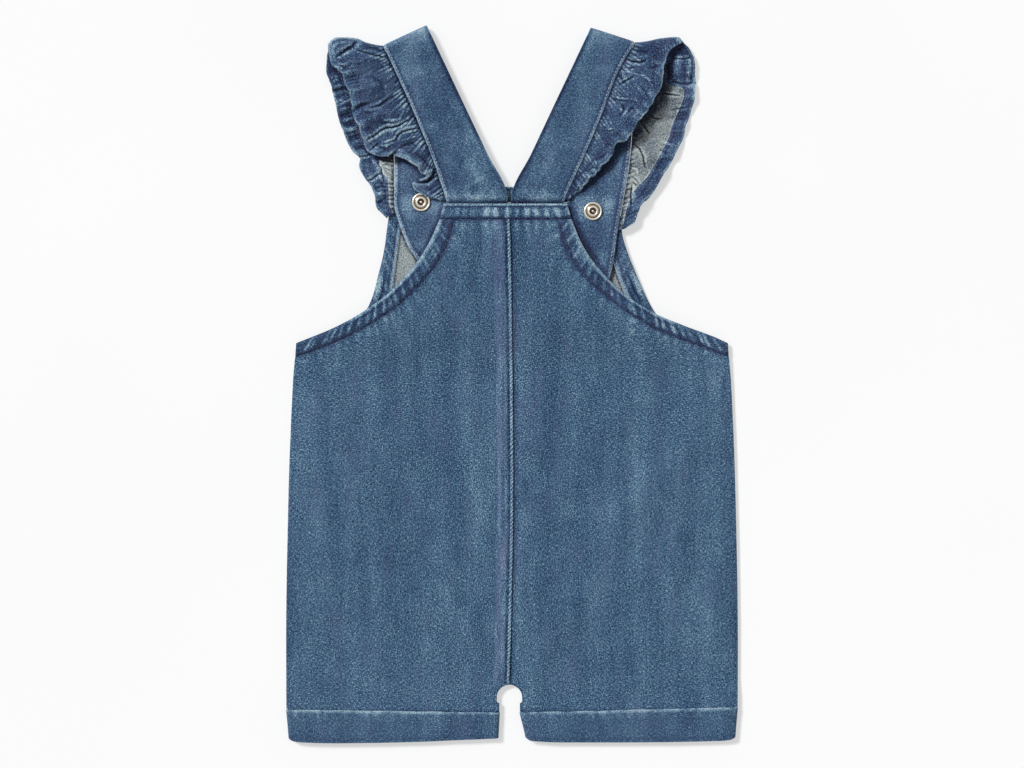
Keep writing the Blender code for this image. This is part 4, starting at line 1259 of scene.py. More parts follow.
@dataclass
class NeckHem(Cloth):
    """The turned hem across the top of a bib: the heights of its edges and half its width at each."""

    back: bool
    foot: float
    top: float
    foot_half: float
    top_half: float
    cloth: float = 1.8

    def __post_init__(self) -> None:
        """Works out the puckers, which stand over those of the panels."""
        self.height = self.top - self.foot
        self.puckers = Gathers(NECK_SPAN, len(NECK_PUCKERS), 80.0, told=NECK_PUCKERS)

    def place(self, across: Array, up: Array) -> Laid:
        """The hem's middle layer at shares from left to right and from foot to top."""
        out = up * self.height
        y, half = self.foot + out, self.foot_half + (self.top_half - self.foot_half) * up
        x = BODY.lean(y) + half * (2 * across - 1)
        level = BODY.level(self.back, x, y, BODY.half(y) - half)
        ridges = self.puckers.height(across * 2 * self.foot_half, out) if self.back else 0.4 + 0 * x
        belly = np.sin(math.pi * np.clip((out - 0.6) / (self.height - 2.2), 0, 1)) ** 0.6
        lift = (0.55 * (ridges - 0.4) + 0.15) * belly + 0.28 * bump(x, -2.6, 1.6)
        sunk = 0.32 * (bump(out, 0.7, 0.6) + bump(out, self.height - 1.7, 0.6))
        thickness = self.cloth + lift - sunk - 0.5 * ramp(up, 0.94, 1.0)
        end = np.minimum(across, 1 - across) * 2 * half
        dashes = np.maximum(ridges - 0.15, 0) * belly * (0.85 + 0.5 * drift(x, y, 3.0, 71))
        rim = 1.1 * bump(out, self.height - 0.2, 0.8) * (0.85 + 0.4 * drift(x, y, 6.0, 72))
        worn = 0.12 + 1.3 * dashes + rim + 0.8 * bump(x, -3.2, 0.8)
        worn = worn + 1.1 * bump(end, 0.4, 0.8) * ramp(out, 1.5, 4.0) * self.back
        upper = bump(out, self.height - 1.9, 0.9)
        darkening_and_shade = 0.16 * (1 - np.clip(ridges, 0, 1)) * belly + 0.75 * upper
        darkening_and_shade = darkening_and_shade + (0.85 + 0.5 * drift(x, y, 2.0, 73)) * bump(out, 0.6, 1.3)
        violet = 0.08 * (bump(out, 0.8, 1.2) + upper)
        return Laid(stacked(x, y, level + thickness / 2), stacked(x, y), thickness, worn, darkening_and_shade, violet)

    def sheet(self, finishes: Finishes) -> Sheet:
        """The hem, coarser at the front, where little of it shows."""
        which, (columns, rows) = LAYERS[self.back], (200, 22) if self.back else (100, 11)
        cut = Cut((f"{which}_neck_hem",), (2 * self.foot_half + 2, self.height + 2.0), "cloth_front_left")
        cloth = (finishes.face, finishes.face)
        return Sheet(f"cloth_{which}_neck_hem", columns, rows, self.place, cloth, cut)

    def seams(self) -> Seams:
        """The two rows of stitches along the hem."""
        return [(np.linspace(0.01, 0.99, 160), out / self.height, 0.10) for out in (0.8, self.height - 1.8)]


@dataclass
class CentreFold(Cloth):
    """The narrow topstitched fold of the left panel over the centre seam, twisted like a rope."""

    width: float = 2.3
    foot: float = -187.0
    top: float = 102.3
    twist: float = 2.45
    cloth: float = 0.7

    def place(self, across: Array, up: Array) -> Laid:
        """The fold's middle layer at shares from its free edge leftwards and from its foot up."""
        y, out = self.foot + (self.top - self.foot) * up, across * self.width
        x = along(CENTRE_SEAM, y) + 0.15 - out
        level = BODY.level(True, x, y, 40.0 + 0 * x) + 0.7 * ramp(y, -195, -181) + BODY.cloth
        rope = 0.5 + 0.5 * np.sin(TURN * ((y + 1.3 * out) / self.twist + 0.35 * drift(x, y, 9.0, 81)))
        round_up = np.sqrt(np.clip(1 - (2 * across - 1) ** 2, 0, 1))
        thickness = 0.12 + (self.cloth * (0.62 + 0.38 * rope)) * round_up
        worn = (0.35 + 1.2 * rope) * bump(out, 0.95, 0.95) * (0.9 + 0.4 * drift(x, y, 11.0, 82))
        # darker between the twists and where the fold meets the panel: kept dye and painted shade
        darkening_and_shade = 0.7 * (1 - rope) * bump(out, 1.0, 1.2) + 0.7 * bump(out, 2.3, 0.5)
        return Laid(stacked(x, y, level - 0.12 + thickness / 2), stacked(x, y), thickness, worn, darkening_and_shade)

    def sheet(self, finishes: Finishes) -> Sheet:
        """The fold, which isn't a sheet of its own."""
        return Sheet("cloth_centre_seam_fold", 8, 720, self.place, (finishes.face, finishes.face), rim=0.05)


@dataclass
class Cuff(Cloth):
    """A turned-up cuff: a flattened tube round the end of one leg."""

    side: Side
    height: float = 5.8
    cloth: float = 1.2
    flats: int = 118
    bends: int = 12
    rows: int = 18

    def place(self, across: Array, up: Array) -> Laid:
        """The cuff's middle layer at shares round it and from its foot up."""
        sign, radius, flats, bends = self.side.value, (self.height - self.cloth) / 2, self.flats, self.bends
        ends = ((CUFF_INNER[self.side], self.height / 2), (CUFF_OUTER, -self.height / 2))
        inner, outer = (sign * (foot + (top - foot) * up + inset) for (foot, top), inset in ends)
        around = 2 * (flats + bends)
        step = across * around % around
        under, over = (np.clip((step - start) / flats, 0, 1) for start in (0, flats + bends))
        side_turn, inseam_turn = (
            math.pi * np.clip((step - start) / bends, 0, 1) for start in (flats, 2 * flats + bends)
        )
        above = over > 0
        x = np.where(above, outer + (inner - outer) * over, inner + (outer - inner) * under)
        x = x + sign * radius * np.where(above, -np.sin(inseam_turn), np.sin(side_turn))
        z = self.height / 2 + radius * np.where(above, np.cos(inseam_turn), -np.cos(side_turn))
        side_top = CUFF_TOP[self.side] - BODY.cuff_top_at_inseam
        top = BODY.cuff_top_at_inseam + side_top * (abs(x) / CUFF_OUTER[1])
        foot = along(CUFF_FOOT[self.side], abs(x))
        rise = 5.0 * (1 - ramp(abs(x), 9.0, 34.0)) * (1 - ramp(z, 0.8, 2.2)) * ramp(up, 0.5, 1.0)
        on_top = ramp(z, 2.6, 4.8)
        y = foot + (top - foot) * up + rise + 0.22 * drift(x, z, 4.5, 91) * ramp(up, 0.7, 1.0)
        z = z + on_top * (0.16 * drift(x, y, 14.0, 92) + 0.10 * drift(x, y, 5.0, 93))
        z = z + on_top * 0.22 * bump(up, 1.0, 0.10)
        worn = on_top * (0.95 * bump(up, 1.0, 0.045) + 0.35 * bump(up, 0.95, 0.035))
        worn = worn * (0.75 + 0.6 * drift(x, y, 3.2, 94)) + 0.3 * bump(up, 0.0, 0.05) + 0.02
        worn = worn + on_top * 0.4 * np.maximum(drift(x, y * 0.12, 2.2, 95), 0) * bump(up, 0.86, 0.12)
        darkening_and_shade = 0.25 * bump(up, 0.0, 0.16) + 0.15 * np.maximum(drift(x, y, 12.0, 96), 0)
        grain = stacked(np.where(above, x, 300 + x), (top - foot) * up)
        return Laid(stacked(x, y, z), grain, np.full_like(x, self.cloth), worn, darkening_and_shade)

    def sheet(self, finishes: Finishes) -> Sheet:
        """The cuff, closed into a tube."""
        word, around = self.side.word, 2 * (self.flats + self.bends)
        cut, both_sides = Cut((f"cuff_{word}",), (285, 20), "floor"), (finishes.soft, finishes.wrong)
        return Sheet(f"cloth_cuff_{word}", around, self.rows, self.place, both_sides, cut, closed=True)


# ---- Straps ----

# Share of the length, then x and y of the outer and of the inner edge, over the back
NEAR_STRAP = both(
    table,
    """0 -38.9 108.5 -2.4 108.5; 0.07 -41.6 116.4 -2.9 117; 0.31 -49.9 141 -15.9 144.7;
    0.6 -62.2 171.6 -32.2 179.2; 0.86 -74.2 198.2 -46.3 209.2; 1 -80.2 211.3 -53.2 223.9""",
    """0 30.5 108.5 -1.1 108.5; 0.07 33.5 116.4 -0.2 117.7; 0.3 44.7 141 12.4 144.3;
    0.54 55.4 166.2 25.2 171.6; 0.86 68.4 199.4 42.2 207.6; 1 76.6 213.4 49.1 222.3""",
)
# x and y of the outer edge, and the turn in degrees, inside the bib
FAR_STRAP = both(
    table,
    """-76.2 177.5 8; -73.6 154 2; -73.2 130 0; -73.6 113.4 3; -69.4 97.5 16; -65 86.5 26; -59.4 77.8 30;
    -52.5 69 32""",
    """75.8 177.5 5; 74.4 151.9 4; 72.5 134.4 7; 68.8 113.1 10; 65.5 93.1 11; 63 75.3 12; 59.3 60 12""",
)
# Height of the strap's middle layer at a y, over the back and inside the bib
NEAR_LEVEL = table("108.5 5.3; 112.4 5.32; 116.8 7.45; 136 7.45; 165 6.6; 224 6.6")
FAR_LEVEL = table("50 4.95; 127 4.95; 160 1; 224 1")
STRAP_CREASES = both(
    folds,
    """3 0.25 -66 190 -52 196; 2.5 0.3 -30 122 -18 128; 3 -0.3 -38 122 -30 140; 4 0.25 -50 160 -38 166""",
    """0.9 0.22 12 119 30 145; 0.9 0.26 17 118 36 141; 0.8 0.2 23 117 38 134; 1 0.2 5 118 16 137;
    0.8 0.2 28 120 34 127; 4 0.3 50 170 62 164; 4 -0.25 40 190 58 186""",
)


def frill_hem_shadow(side: Side, x: Array, y: Array) -> Array:
    """Painted shadow that the hem of the frill over the back casts on whatever lies below."""
    width, height = side.pick((2.6, 1.25), (4.6, 1.2))
    return folded([Fold(width, height, NEAR_FRILL[side][:, 1:3] + (0.9, -0.7))], x, y)


def armhole_hem_shadow(side: Side, x: Array, y: Array) -> Array:
    """Painted shadow beside the back's armhole hem, on the end of the strap below."""
    width, out = side.pick((1.2, 0.9), (3.0, 1.3))
    armhole = BACK_ARMHOLE[side]
    height, half = np.vstack([armhole[armhole[:, 0] > 60], (113.0, 38.6)]).T
    way = stacked(side.value * (half + out) + BODY.lean(height), height)
    return folded([Fold(width, 1.3, way)], x, y)


def strap_edge_shadow(side: Side, x: Array, y: Array) -> Array:
    """Painted shadow beside the outer edge of the strap inside the bib, on the front below."""
    rows = FAR_STRAP[side]
    way = rows[rows[:, 1] < 120, :2] + (0.7 * side.value, 0.0)
    return folded([Fold(side.pick(1.2, 2.2), 1.0, way)], x, y)


@dataclass
class Strap(Cloth):
    """A faced strap, from under the back's neck hem over the shoulder and down inside the front bib."""

    side: Side
    cloth: float = 2.0
    bow: float = 2.8
    far_width: float = 29.5
    tail_width: float = 34.0
    length: float = 245.0
    near_rows: int = 96
    bow_rows: int = 12
    far_rows: int = 108

    def way(self) -> Array:
        """Unit direction, in plan, from the strap's foot to the shoulder."""
        foot, head = NEAR_STRAP[self.side][[0, -1], 1:]
        way = (head - foot).reshape(2, 2).sum(axis=0)
        return way / np.hypot(*way)

    def bow_point(self, edge: Array, turn: Array) -> Array:
        """Point on the bow over the shoulder: edge 0 is the outer side, and turn goes from 0 to pi."""
        outer, inner = NEAR_STRAP[self.side][-1, 1:].reshape(2, 2)
        edge, turn = np.broadcast_arrays(np.asarray(edge, float), np.asarray(turn, float))
        reach = self.bow * (np.sin(turn) - 1) - self.cloth / 2
        x, y = (outer[i] + (inner[i] - outer[i]) * edge + self.way()[i] * reach for i in (0, 1))
        return stacked(x, y, FAR_LEVEL[-1, 1] + self.bow + self.bow * np.cos(turn))

    def near_point(self, edge: Array, share: Array) -> Array:
        """Point on the flat stretch over the back, from its foot at 0 to the bow at 1."""
        outer_x, outer_y, inner_x, inner_y = (along(NEAR_STRAP[self.side], share, i) for i in (1, 2, 3, 4))
        shorten = share * (self.bow + self.cloth / 2)
        x = outer_x + (inner_x - outer_x) * edge - self.way()[0] * shorten
        y = outer_y + (inner_y - outer_y) * edge - self.way()[1] * shorten
        return stacked(x, y, along(NEAR_LEVEL, y))

    def far_point(self, edge: Array, share: Array) -> Array:
        """Point on the flat stretch inside the bib, from the bow at 0 to the free end at 1."""
        start, start_in = self.bow_point(0.0, math.pi), self.bow_point(1.0, math.pi)
        start_turn = math.degrees(math.atan2(start_in[1] - start[1], abs(start_in[0] - start[0])))
        rows = np.vstack([(start[0], start[1], start_turn), FAR_STRAP[self.side]])
        shares = np.concatenate([[0.0], np.cumsum(np.hypot(*np.diff(rows[:, :2], axis=0).T))])
        x, y, turn = (smooth(shares / shares[-1], column, share) for column in rows.T)
        widen = ramp(-y, -150.0, -124.0)
        width = (self.far_width + (self.tail_width - self.far_width) * widen) * edge
        x = x - self.side.value * width * np.cos(np.radians(turn))
        y = y + width * np.sin(np.radians(turn))
        return stacked(x, y, along(FAR_LEVEL, y))

    def place(self, across: Array, up: Array) -> Laid:
        """The strap's middle layer at shares from its outer edge inwards and from foot to free end."""
        side, after_bow = self.side, self.near_rows + self.bow_rows
        row = up * (after_bow + self.far_rows)
        near = np.clip(row / self.near_rows, 0.0, 1.0)
        turn = math.pi * np.clip((row - self.near_rows) / self.bow_rows, 0.0, 1.0)
        far = np.clip((row - after_bow) / self.far_rows, 0.0, 1.0)
        before, until = (row <= self.near_rows)[..., None], (row <= after_bow)[..., None]
        points = np.where(before, self.near_point(across, near), self.bow_point(across, turn))
        points = np.where(until, points, self.far_point(across, far))
        on_near = 1 - ramp(row, self.near_rows - 4, self.near_rows)
        on_far = ramp(row, after_bow, after_bow + 6)
        x, y = points[..., 0], points[..., 1]
        outer, inner, run = across * self.far_width, (1 - across) * self.far_width, up * self.length
        clear = on_near * ramp(y, 117, 124) + 0.5 * on_far * ramp(-y, -118, -100)
        waves = 0.16 * drift(outer, run, 13.0, 101 + side.value) + 0.08 * drift(outer, run, 5.0, 103)
        creases = folded(STRAP_CREASES[side], x, y)
        points[..., 2] += (waves + creases * on_near) * clear
        seams = bump(outer, 1.6, 0.6) + 0.6 * bump(inner, 1.4, 0.6)
        thickness = self.cloth - 0.34 * seams - 0.35 * (bump(outer, 0, 0.6) + bump(inner, 0, 0.6))
        thickness = thickness + 0.10 * bump(across, 0.5, 0.35)
        wider, dark_from = on_far * side.pick(0.35, -0.2), side.pick(140.0, 112.0)
        dark_edge = on_near * ramp(y, dark_from, dark_from + 16)
        worn = (1.0 + 0.4 * wider) * bump(outer, 0.35, 0.8 + wider)
        worn = worn * (0.95 + 0.25 * drift(run, outer, 8.0, 104))
        rubbed = 0.75 * bump(inner, 0.25, 0.6) * (0.8 + 0.6 * drift(run, inner, 9.0, 105))
        worn = worn + rubbed * (1 - 0.85 * dark_edge)
        worn = worn + 0.38 * bump(y, 118.5, 3.5) * on_near * (0.6 + 0.6 * drift(x, y, 4.0, 106))
        worn = worn + on_near * 0.4 * np.maximum(creases, 0)
        worn = worn + 0.26 * drift(outer, run * 0.35, 6.5, 107) + 0.14 * drift(x, y, 4.0, 111)
        worn = worn + 0.08 - 0.05 * side.value
        worn = worn + on_far * (0.065 + 0.025 * side.value + 0.28 * drift(outer, run, 7.0, 110) - 0.03)
        darkening_and_shade = 0.5 * bump(outer, 2.4, 0.9) + 0.45 * bump(inner, 1.4, 0.8)
        # the band at the neck hem's edge is painted shadow where the strap goes under it; on the stretch
        # inside the bib, the hems of the frill and of the back paint shadow
        darkening_and_shade = darkening_and_shade + 0.20 * np.maximum(drift(x, y, 13.0, 108), 0) + 1.1 * bump(y, 113.0, 0.9) * on_near
        darkening_and_shade = darkening_and_shade + (frill_hem_shadow(side, x, y) + 1.3 * armhole_hem_shadow(side, x, y)) * on_far
        darkening_and_shade = darkening_and_shade + 0.75 * bump(inner, 0.5, 0.8) * dark_edge
        violet = 0.07 * on_far + 0.12 * bump(outer, 2.4, 0.9)
        return Laid(points, stacked(outer, run), thickness, worn, darkening_and_shade, violet)

    def sheet(self, finishes: Finishes) -> Sheet:
        """The strap, one strip that stands for both its stretches."""
        word, rows = self.side.word, self.near_rows + self.bow_rows + self.far_rows
        cut = Cut((f"strap_{word}_back", f"strap_{word}_front"), (36, 262), "cloth_front_left")
        return Sheet(f"cloth_strap_{word}", 30, rows, self.place, (finishes.soft, finishes.soft), cut)

    def seams(self) -> Seams:
        """The row of stitches beside the frill, over the back and inside the bib."""
        across, stretches = 1.6 / self.far_width, ((0.04, 0.49), (0.56, 0.97))
        return [(across, np.linspace(*ends, 250), 0.08) for ends in stretches]


# ---- Frills ----

# Share of the seam, then x, y and z of the hem beside it, over the back and inside the bib
NEAR_FRILL = both(
    table,
    """0 -44.5 114.3 8; 0.04 -51.9 116.2 8.6; 0.08 -58.2 119.5 8.8; 0.12 -62 124.2 9.4;
    0.15 -58.7 126.1 9.4; 0.18 -54.8 126.9 9.6; 0.21 -52.4 128.6 11; 0.24 -55 130.4 12.4;
    0.28 -60 134.6 12.8; 0.33 -66.6 139.2 12.8; 0.37 -72.2 141.4 12.4; 0.395 -74.8 144.2 11.6;
    0.43 -78.3 140.8 11.8; 0.48 -85.1 141.9 11.6; 0.53 -90.7 147.2 11.6; 0.58 -94.6 156.4 12.2;
    0.64 -97.8 164.6 12.4; 0.71 -100.2 174.2 12.2; 0.78 -102.4 184.2 11.8; 0.85 -105.8 192.4 11;
    0.91 -111.4 197.8 10.2; 0.96 -113.6 204.6 9; 1 -114.2 210.4 6.9""",
    """0 36 115.8 8; 0.07 41.2 119.6 8.8; 0.15 47 125.2 9.8; 0.24 53 131.6 10.8; 0.33 59.6 138 11.4;
    0.4 62.6 143.4 11.6; 0.45 64.6 148 11.4; 0.51 71.4 152.2 12; 0.58 76.6 158.6 12.6;
    0.65 81.6 166.6 12.6; 0.72 87.4 173.4 12.4; 0.79 91.4 182.4 12; 0.86 94.4 191.6 11.2;
    0.92 95.2 201 10.2; 0.96 98.4 207.6 8.8; 1 105.6 212.4 6.9""",
)
FAR_FRILL = both(
    table,
    """0 -114.2 210.4 5.3; 0.06 -115.2 203 4.4; 0.12 -115.8 195 3.4; 0.17 -113.4 187.6 2.4;
    0.25 -111.2 179 1.8; 0.34 -109 169 1.6; 0.43 -106.2 159.6 1.6; 0.52 -102.6 150.8 1.8;
    0.59 -98.8 144.2 2.2; 0.65 -94.6 140.4 2.8; 0.7 -95.4 135.4 3.2; 0.76 -92.2 129 3.8;
    0.82 -88 123.6 4.6; 0.88 -85.6 116.8 5.4; 0.94 -84.4 110.4 5.6; 1 -78.4 103.4 5.2""",
    """0 105.6 212.4 5.3; 0.06 110.2 208.4 4.4; 0.12 113.4 203 3.6; 0.2 114.2 194 2.6; 0.29 114.6 181 1.8;
    0.37 111.6 170 1.6; 0.45 108.6 160.8 1.6; 0.52 107 154 1.8; 0.59 103.6 146.6 2.2; 0.67 98.4 136.8 2.8;
    0.75 92.6 127.2 3.8; 0.82 86.8 118 4.8; 0.88 80.6 111.4 5.4; 0.93 78.2 106.4 5.6; 0.97 76.6 101.2 5.4;
    1 70.4 97 5.2""",
)
# Creases that shape the frills over the back and inside the bib; Frill.place also paints shade into their
# troughs
NEAR_FOLDS = both(
    folds,
    """1.6 -1.6 -108.6 203.6 -103.7 207.3 -99.3 209.8 -97.5 212.3;
    0.9 -1.5 -95.6 207.3 -90.6 206.1 -85.7 204.5 -80.7 203.6 -76.3 203;
    1 -0.8 -89.4 209.2 -84.4 208.9 -81.3 207.3; 0.8 -0.9 -79.5 200.5 -76.3 198 -72.6 197.4;
    1.5 -0.5 -102.4 199.2 -96.8 198.6 -90.6 199.9; 1.5 -0.8 -109.2 197.4 -104.3 196.8 -100.6 198;
    2.4 -0.4 -91.9 189.9 -86.9 191.2 -81.9 187.5 -80.7 183.7; 2.2 -0.4 -88.1 179.4 -84.4 181.9 -80.1 183.1;
    1.3 -1.2 -88.1 171.3 -81.9 173.2 -77 176.9 -73.2 179.4; 1.6 -1.2 -96.8 171.3 -93.1 173.2 -89.4 174.4;
    1.8 -0.5 -96.2 165.7 -91.9 168.8 -87.5 168.2 -83.2 169.5;
    1 -2.4 -90 151.5 -85.7 153.9 -81.9 157 -78.2 159.2 -73.9 159.5 -70.1 160.8 -67 162.6 -63.9 164.5 -61.4
    168.2; 0.9 -2 -79.5 149 -75.7 150.2 -72 151.5 -70.8 154.6 -67.7 157 -62.7 158.3 -57.1 159.5;
    1.2 -1.2 -87.5 145.2 -84.4 148.3 -81.9 150.2; 1.2 -0.6 -81.3 161.4 -77.6 162.6 -73.9 162;
    0.7 -0.9 -63.9 155.2 -60.8 156.4 -57.7 157; 1.5 -1 -81.9 147.1 -77 145.2 -75.7 147.7;
    1.2 -0.7 -67 147.7 -62.1 149.6 -58.3 147.1; 1.2 -0.6 -60.2 143.4 -56.5 140.3 -52.8 137.2;
    1.6 0.6 -112.3 204.8 -111.1 209.2 -107.4 212 -101.8 212.9; 2 0.4 -96.2 209.2 -94.3 212.3 -91.9 209.8;
    1 0.6 -91.9 207.9 -86.9 207.3 -81.3 205.5 -77 204.2;
    1.6 0.5 -94.3 203 -88.1 203 -81.9 202.3 -77.6 200.5 -74.5 198.6;
    1.2 0.9 -78.8 163.9 -73.9 163.9 -70.1 164.5 -68.3 168.2 -65.8 171.9 -63.3 174.4;
    0.9 0.8 -72 155.8 -69.5 157.7 -64.6 159.5 -57.7 161.1; 0.8 0.8 -79.5 150.2 -74.5 151.5;
    0.9 0.8 -69.5 150.8 -65.2 152.1 -59.6 153.9 -57.1 156.4; 0.7 0.8 -59.6 147.7 -56.5 149.6 -55.2 153.3;
    1.6 0.9 -74.5 144 -70.8 145.2 -65.8 144.6; 2.4 0.4 -86.9 158.9 -84.4 163.2 -85.7 168.2;
    1.5 -3.4 -60.4 125.6 -56.5 125.4 -52.6 126 -49.6 128.4 -48.2 131.8 -47.8 136""",
    """1 -2.2 68.3 201.1 72 202 75.1 200.5 79.5 199.9 83.2 201.1;
    0.9 -1.6 67 186.2 70.1 188.1 73.2 189.9 75.7 191.2; 1.6 -0.7 78.2 207.3 82.6 206.1 85.7 207.9;
    1.4 -0.9 85.7 196.1 90 196.8 92.5 197.4; 0.8 -0.8 68.9 196.8 73.2 196.1 77.6 197.4;
    0.8 -0.8 62.1 178.1 65.8 176.3 72 175.7; 1.4 -0.7 79.5 185 83.2 181.2 85.7 176.3;
    1.2 -0.9 68.3 173.8 69.5 170.1 67 166.3; 1.3 -0.8 72 168.2 74.5 171.3 78.2 170.1;
    0.9 -0.9 56.5 157.7 60.8 157 64.6 158.9; 1.3 -0.9 59.6 149.6 62.7 147.1 62.1 144;
    1.3 -0.8 52.8 139 56.5 140.9 59 144; 1.1 -0.7 46.6 131.6 49.7 134.1 53.4 134.1;
    0.8 0.6 70.8 202.3 75.1 202.7 80.7 203.6 85.7 203.6; 0.5 0.5 69.5 198 74.5 197.7 77.6 199.2;
    0.7 0.7 68.3 193.7 73.2 194 78.2 192.4 82.6 191.2 85.7 188.1 86.9 183.7; 0.5 0.5 63.3 184.3 68.3 184.7;
    0.6 0.8 62.1 179.4 67 177.5 73.2 177.2 77.6 175.7; 0.6 0.8 60.8 175.3 64.6 174.7 67 172.6 68.3 169.5;
    0.8 0.5 72.6 172.6 70.8 168.8 68.3 165.1; 0.8 0.5 76.3 171.9 78.2 168.8 75.7 165.1;
    0.6 0.8 56.5 162 59 160.1 60.2 158.3 63.9 158.6 66.4 157; 0.5 0.5 54.6 155.2 52.8 152.7;
    0.5 0.5 49 150.2 52.8 149.9; 0.5 0.6 47.2 144.6 49 141.5 51.5 140.3; 0.5 0.5 42.2 135.9 44.1 132.8;
    1 0.5 58.3 152.1 57.1 147.7 59.6 144.6""",
)
FAR_FOLDS = both(
    folds,
    """0.8 -1.1 -109.2 174.7 -105.4 176.5 -101.7 178.4; 2.2 -0.5 -108.5 167.2 -101.1 169.1;
    2.4 -0.6 -104.8 160.3 -97.3 162.2; 2.2 -0.6 -101.7 153.5 -94.2 156; 2.2 -0.6 -98.6 147.2 -90.5 148.5;
    1.6 0.4 -107.9 170.9 -101.1 172.2; 1.6 0.5 -106.1 164.1 -99.2 165.9; 1.6 0.5 -102.9 157.8 -96.1 159.1;
    1.6 0.5 -99.8 151 -92.3 152.2; 1 -0.9 -113.5 187.8 -111 190.9;
    1 -1.7 -95.4 141.6 -91.1 142.2 -85.5 144.1; 1.1 -1.7 -91.1 126 -86.7 127.9 -81.7 131.6;
    0.7 0.9 -87.3 141 -84.8 136.6 -82.3 132.9; 0.8 -1.7 -84 137.6 -81.5 134.6 -80.6 130 -79.8 126.4;
    0.6 0.8 -82.6 139.4 -80.4 137.2 -78 138.4; 0.6 -1.3 -79 134.6 -76 133; 0.5 -1.2 -78 129.2 -75.2 127.4;
    1.8 -0.5 -86.7 121 -79.8 123.5; 1.8 -0.6 -84.2 112.9 -78.6 116; 1.5 0.5 -84.8 117.3 -79.2 119.8""",
    """1.1 -2.7 100.6 188.9 104.6 187.6 108.6 187.2 113 188.2; 0.9 -2 100.8 203 106 202.8 111.6 203.6;
    3 -1 101 206.4 99.4 199 98.4 191; 0.6 1.1 111 202.1 110.6 194.6 109.2 189.4;
    0.7 -1.5 112.5 202.1 112.3 194 111 188.9; 0.9 -1.5 92.3 181.5 97.3 180.9 104.2 180;
    0.9 -1.4 86.1 167.8 89.2 165.9 92.3 165.6; 0.9 -1.6 79.8 164.1 83 160.3 85.5 156.6;
    0.9 -1.6 76.1 149.7 79.8 146.6 81.7 142.2 83 134.7; 1 -0.8 99.8 170.9 104.8 172.2 109.8 172.8;
    1.2 -0.6 102.3 165.3 108.5 164.7; 0.6 1 74.9 134.7 78 133.5 78.6 130.4;
    0.7 -1 74.2 129.8 77.4 127.3 79.8 123.5; 0.8 -1.6 75.5 125.4 78 123.5; 0.8 -0.8 71.1 121 74.2 121.6;
    1 -1.9 74.9 123.5 74.2 117.9 74.2 111; 1.4 -0.5 92.3 146 97.3 143.5; 1.4 0.5 94.8 151 100.4 148.5""",
)
# How far the fold over the shoulder bows out, and how wide the hem inside the bib is, at a share
SHOULDER_LINE = both(
    table,
    """0 0; 0.1 0.4; 0.37 2.6; 0.49 4.6; 0.7 5; 0.89 4.4; 0.976 1.4; 1 0""",
    """0 0; 0.07 0.1; 0.3 0.9; 0.535 2.4; 0.8 3; 0.93 2.9; 1 0""",
)
HEM_BAND = both(
    table,
    """0 16; 0.09 16; 0.12 9; 0.54 9; 0.58 13; 0.71 13; 0.76 12.5; 1 12""",
    """0 18; 0.24 18; 0.27 6.8; 0.35 7.6; 0.45 8.6; 0.6 9.5; 0.72 10; 0.8 13; 1 12""",
)


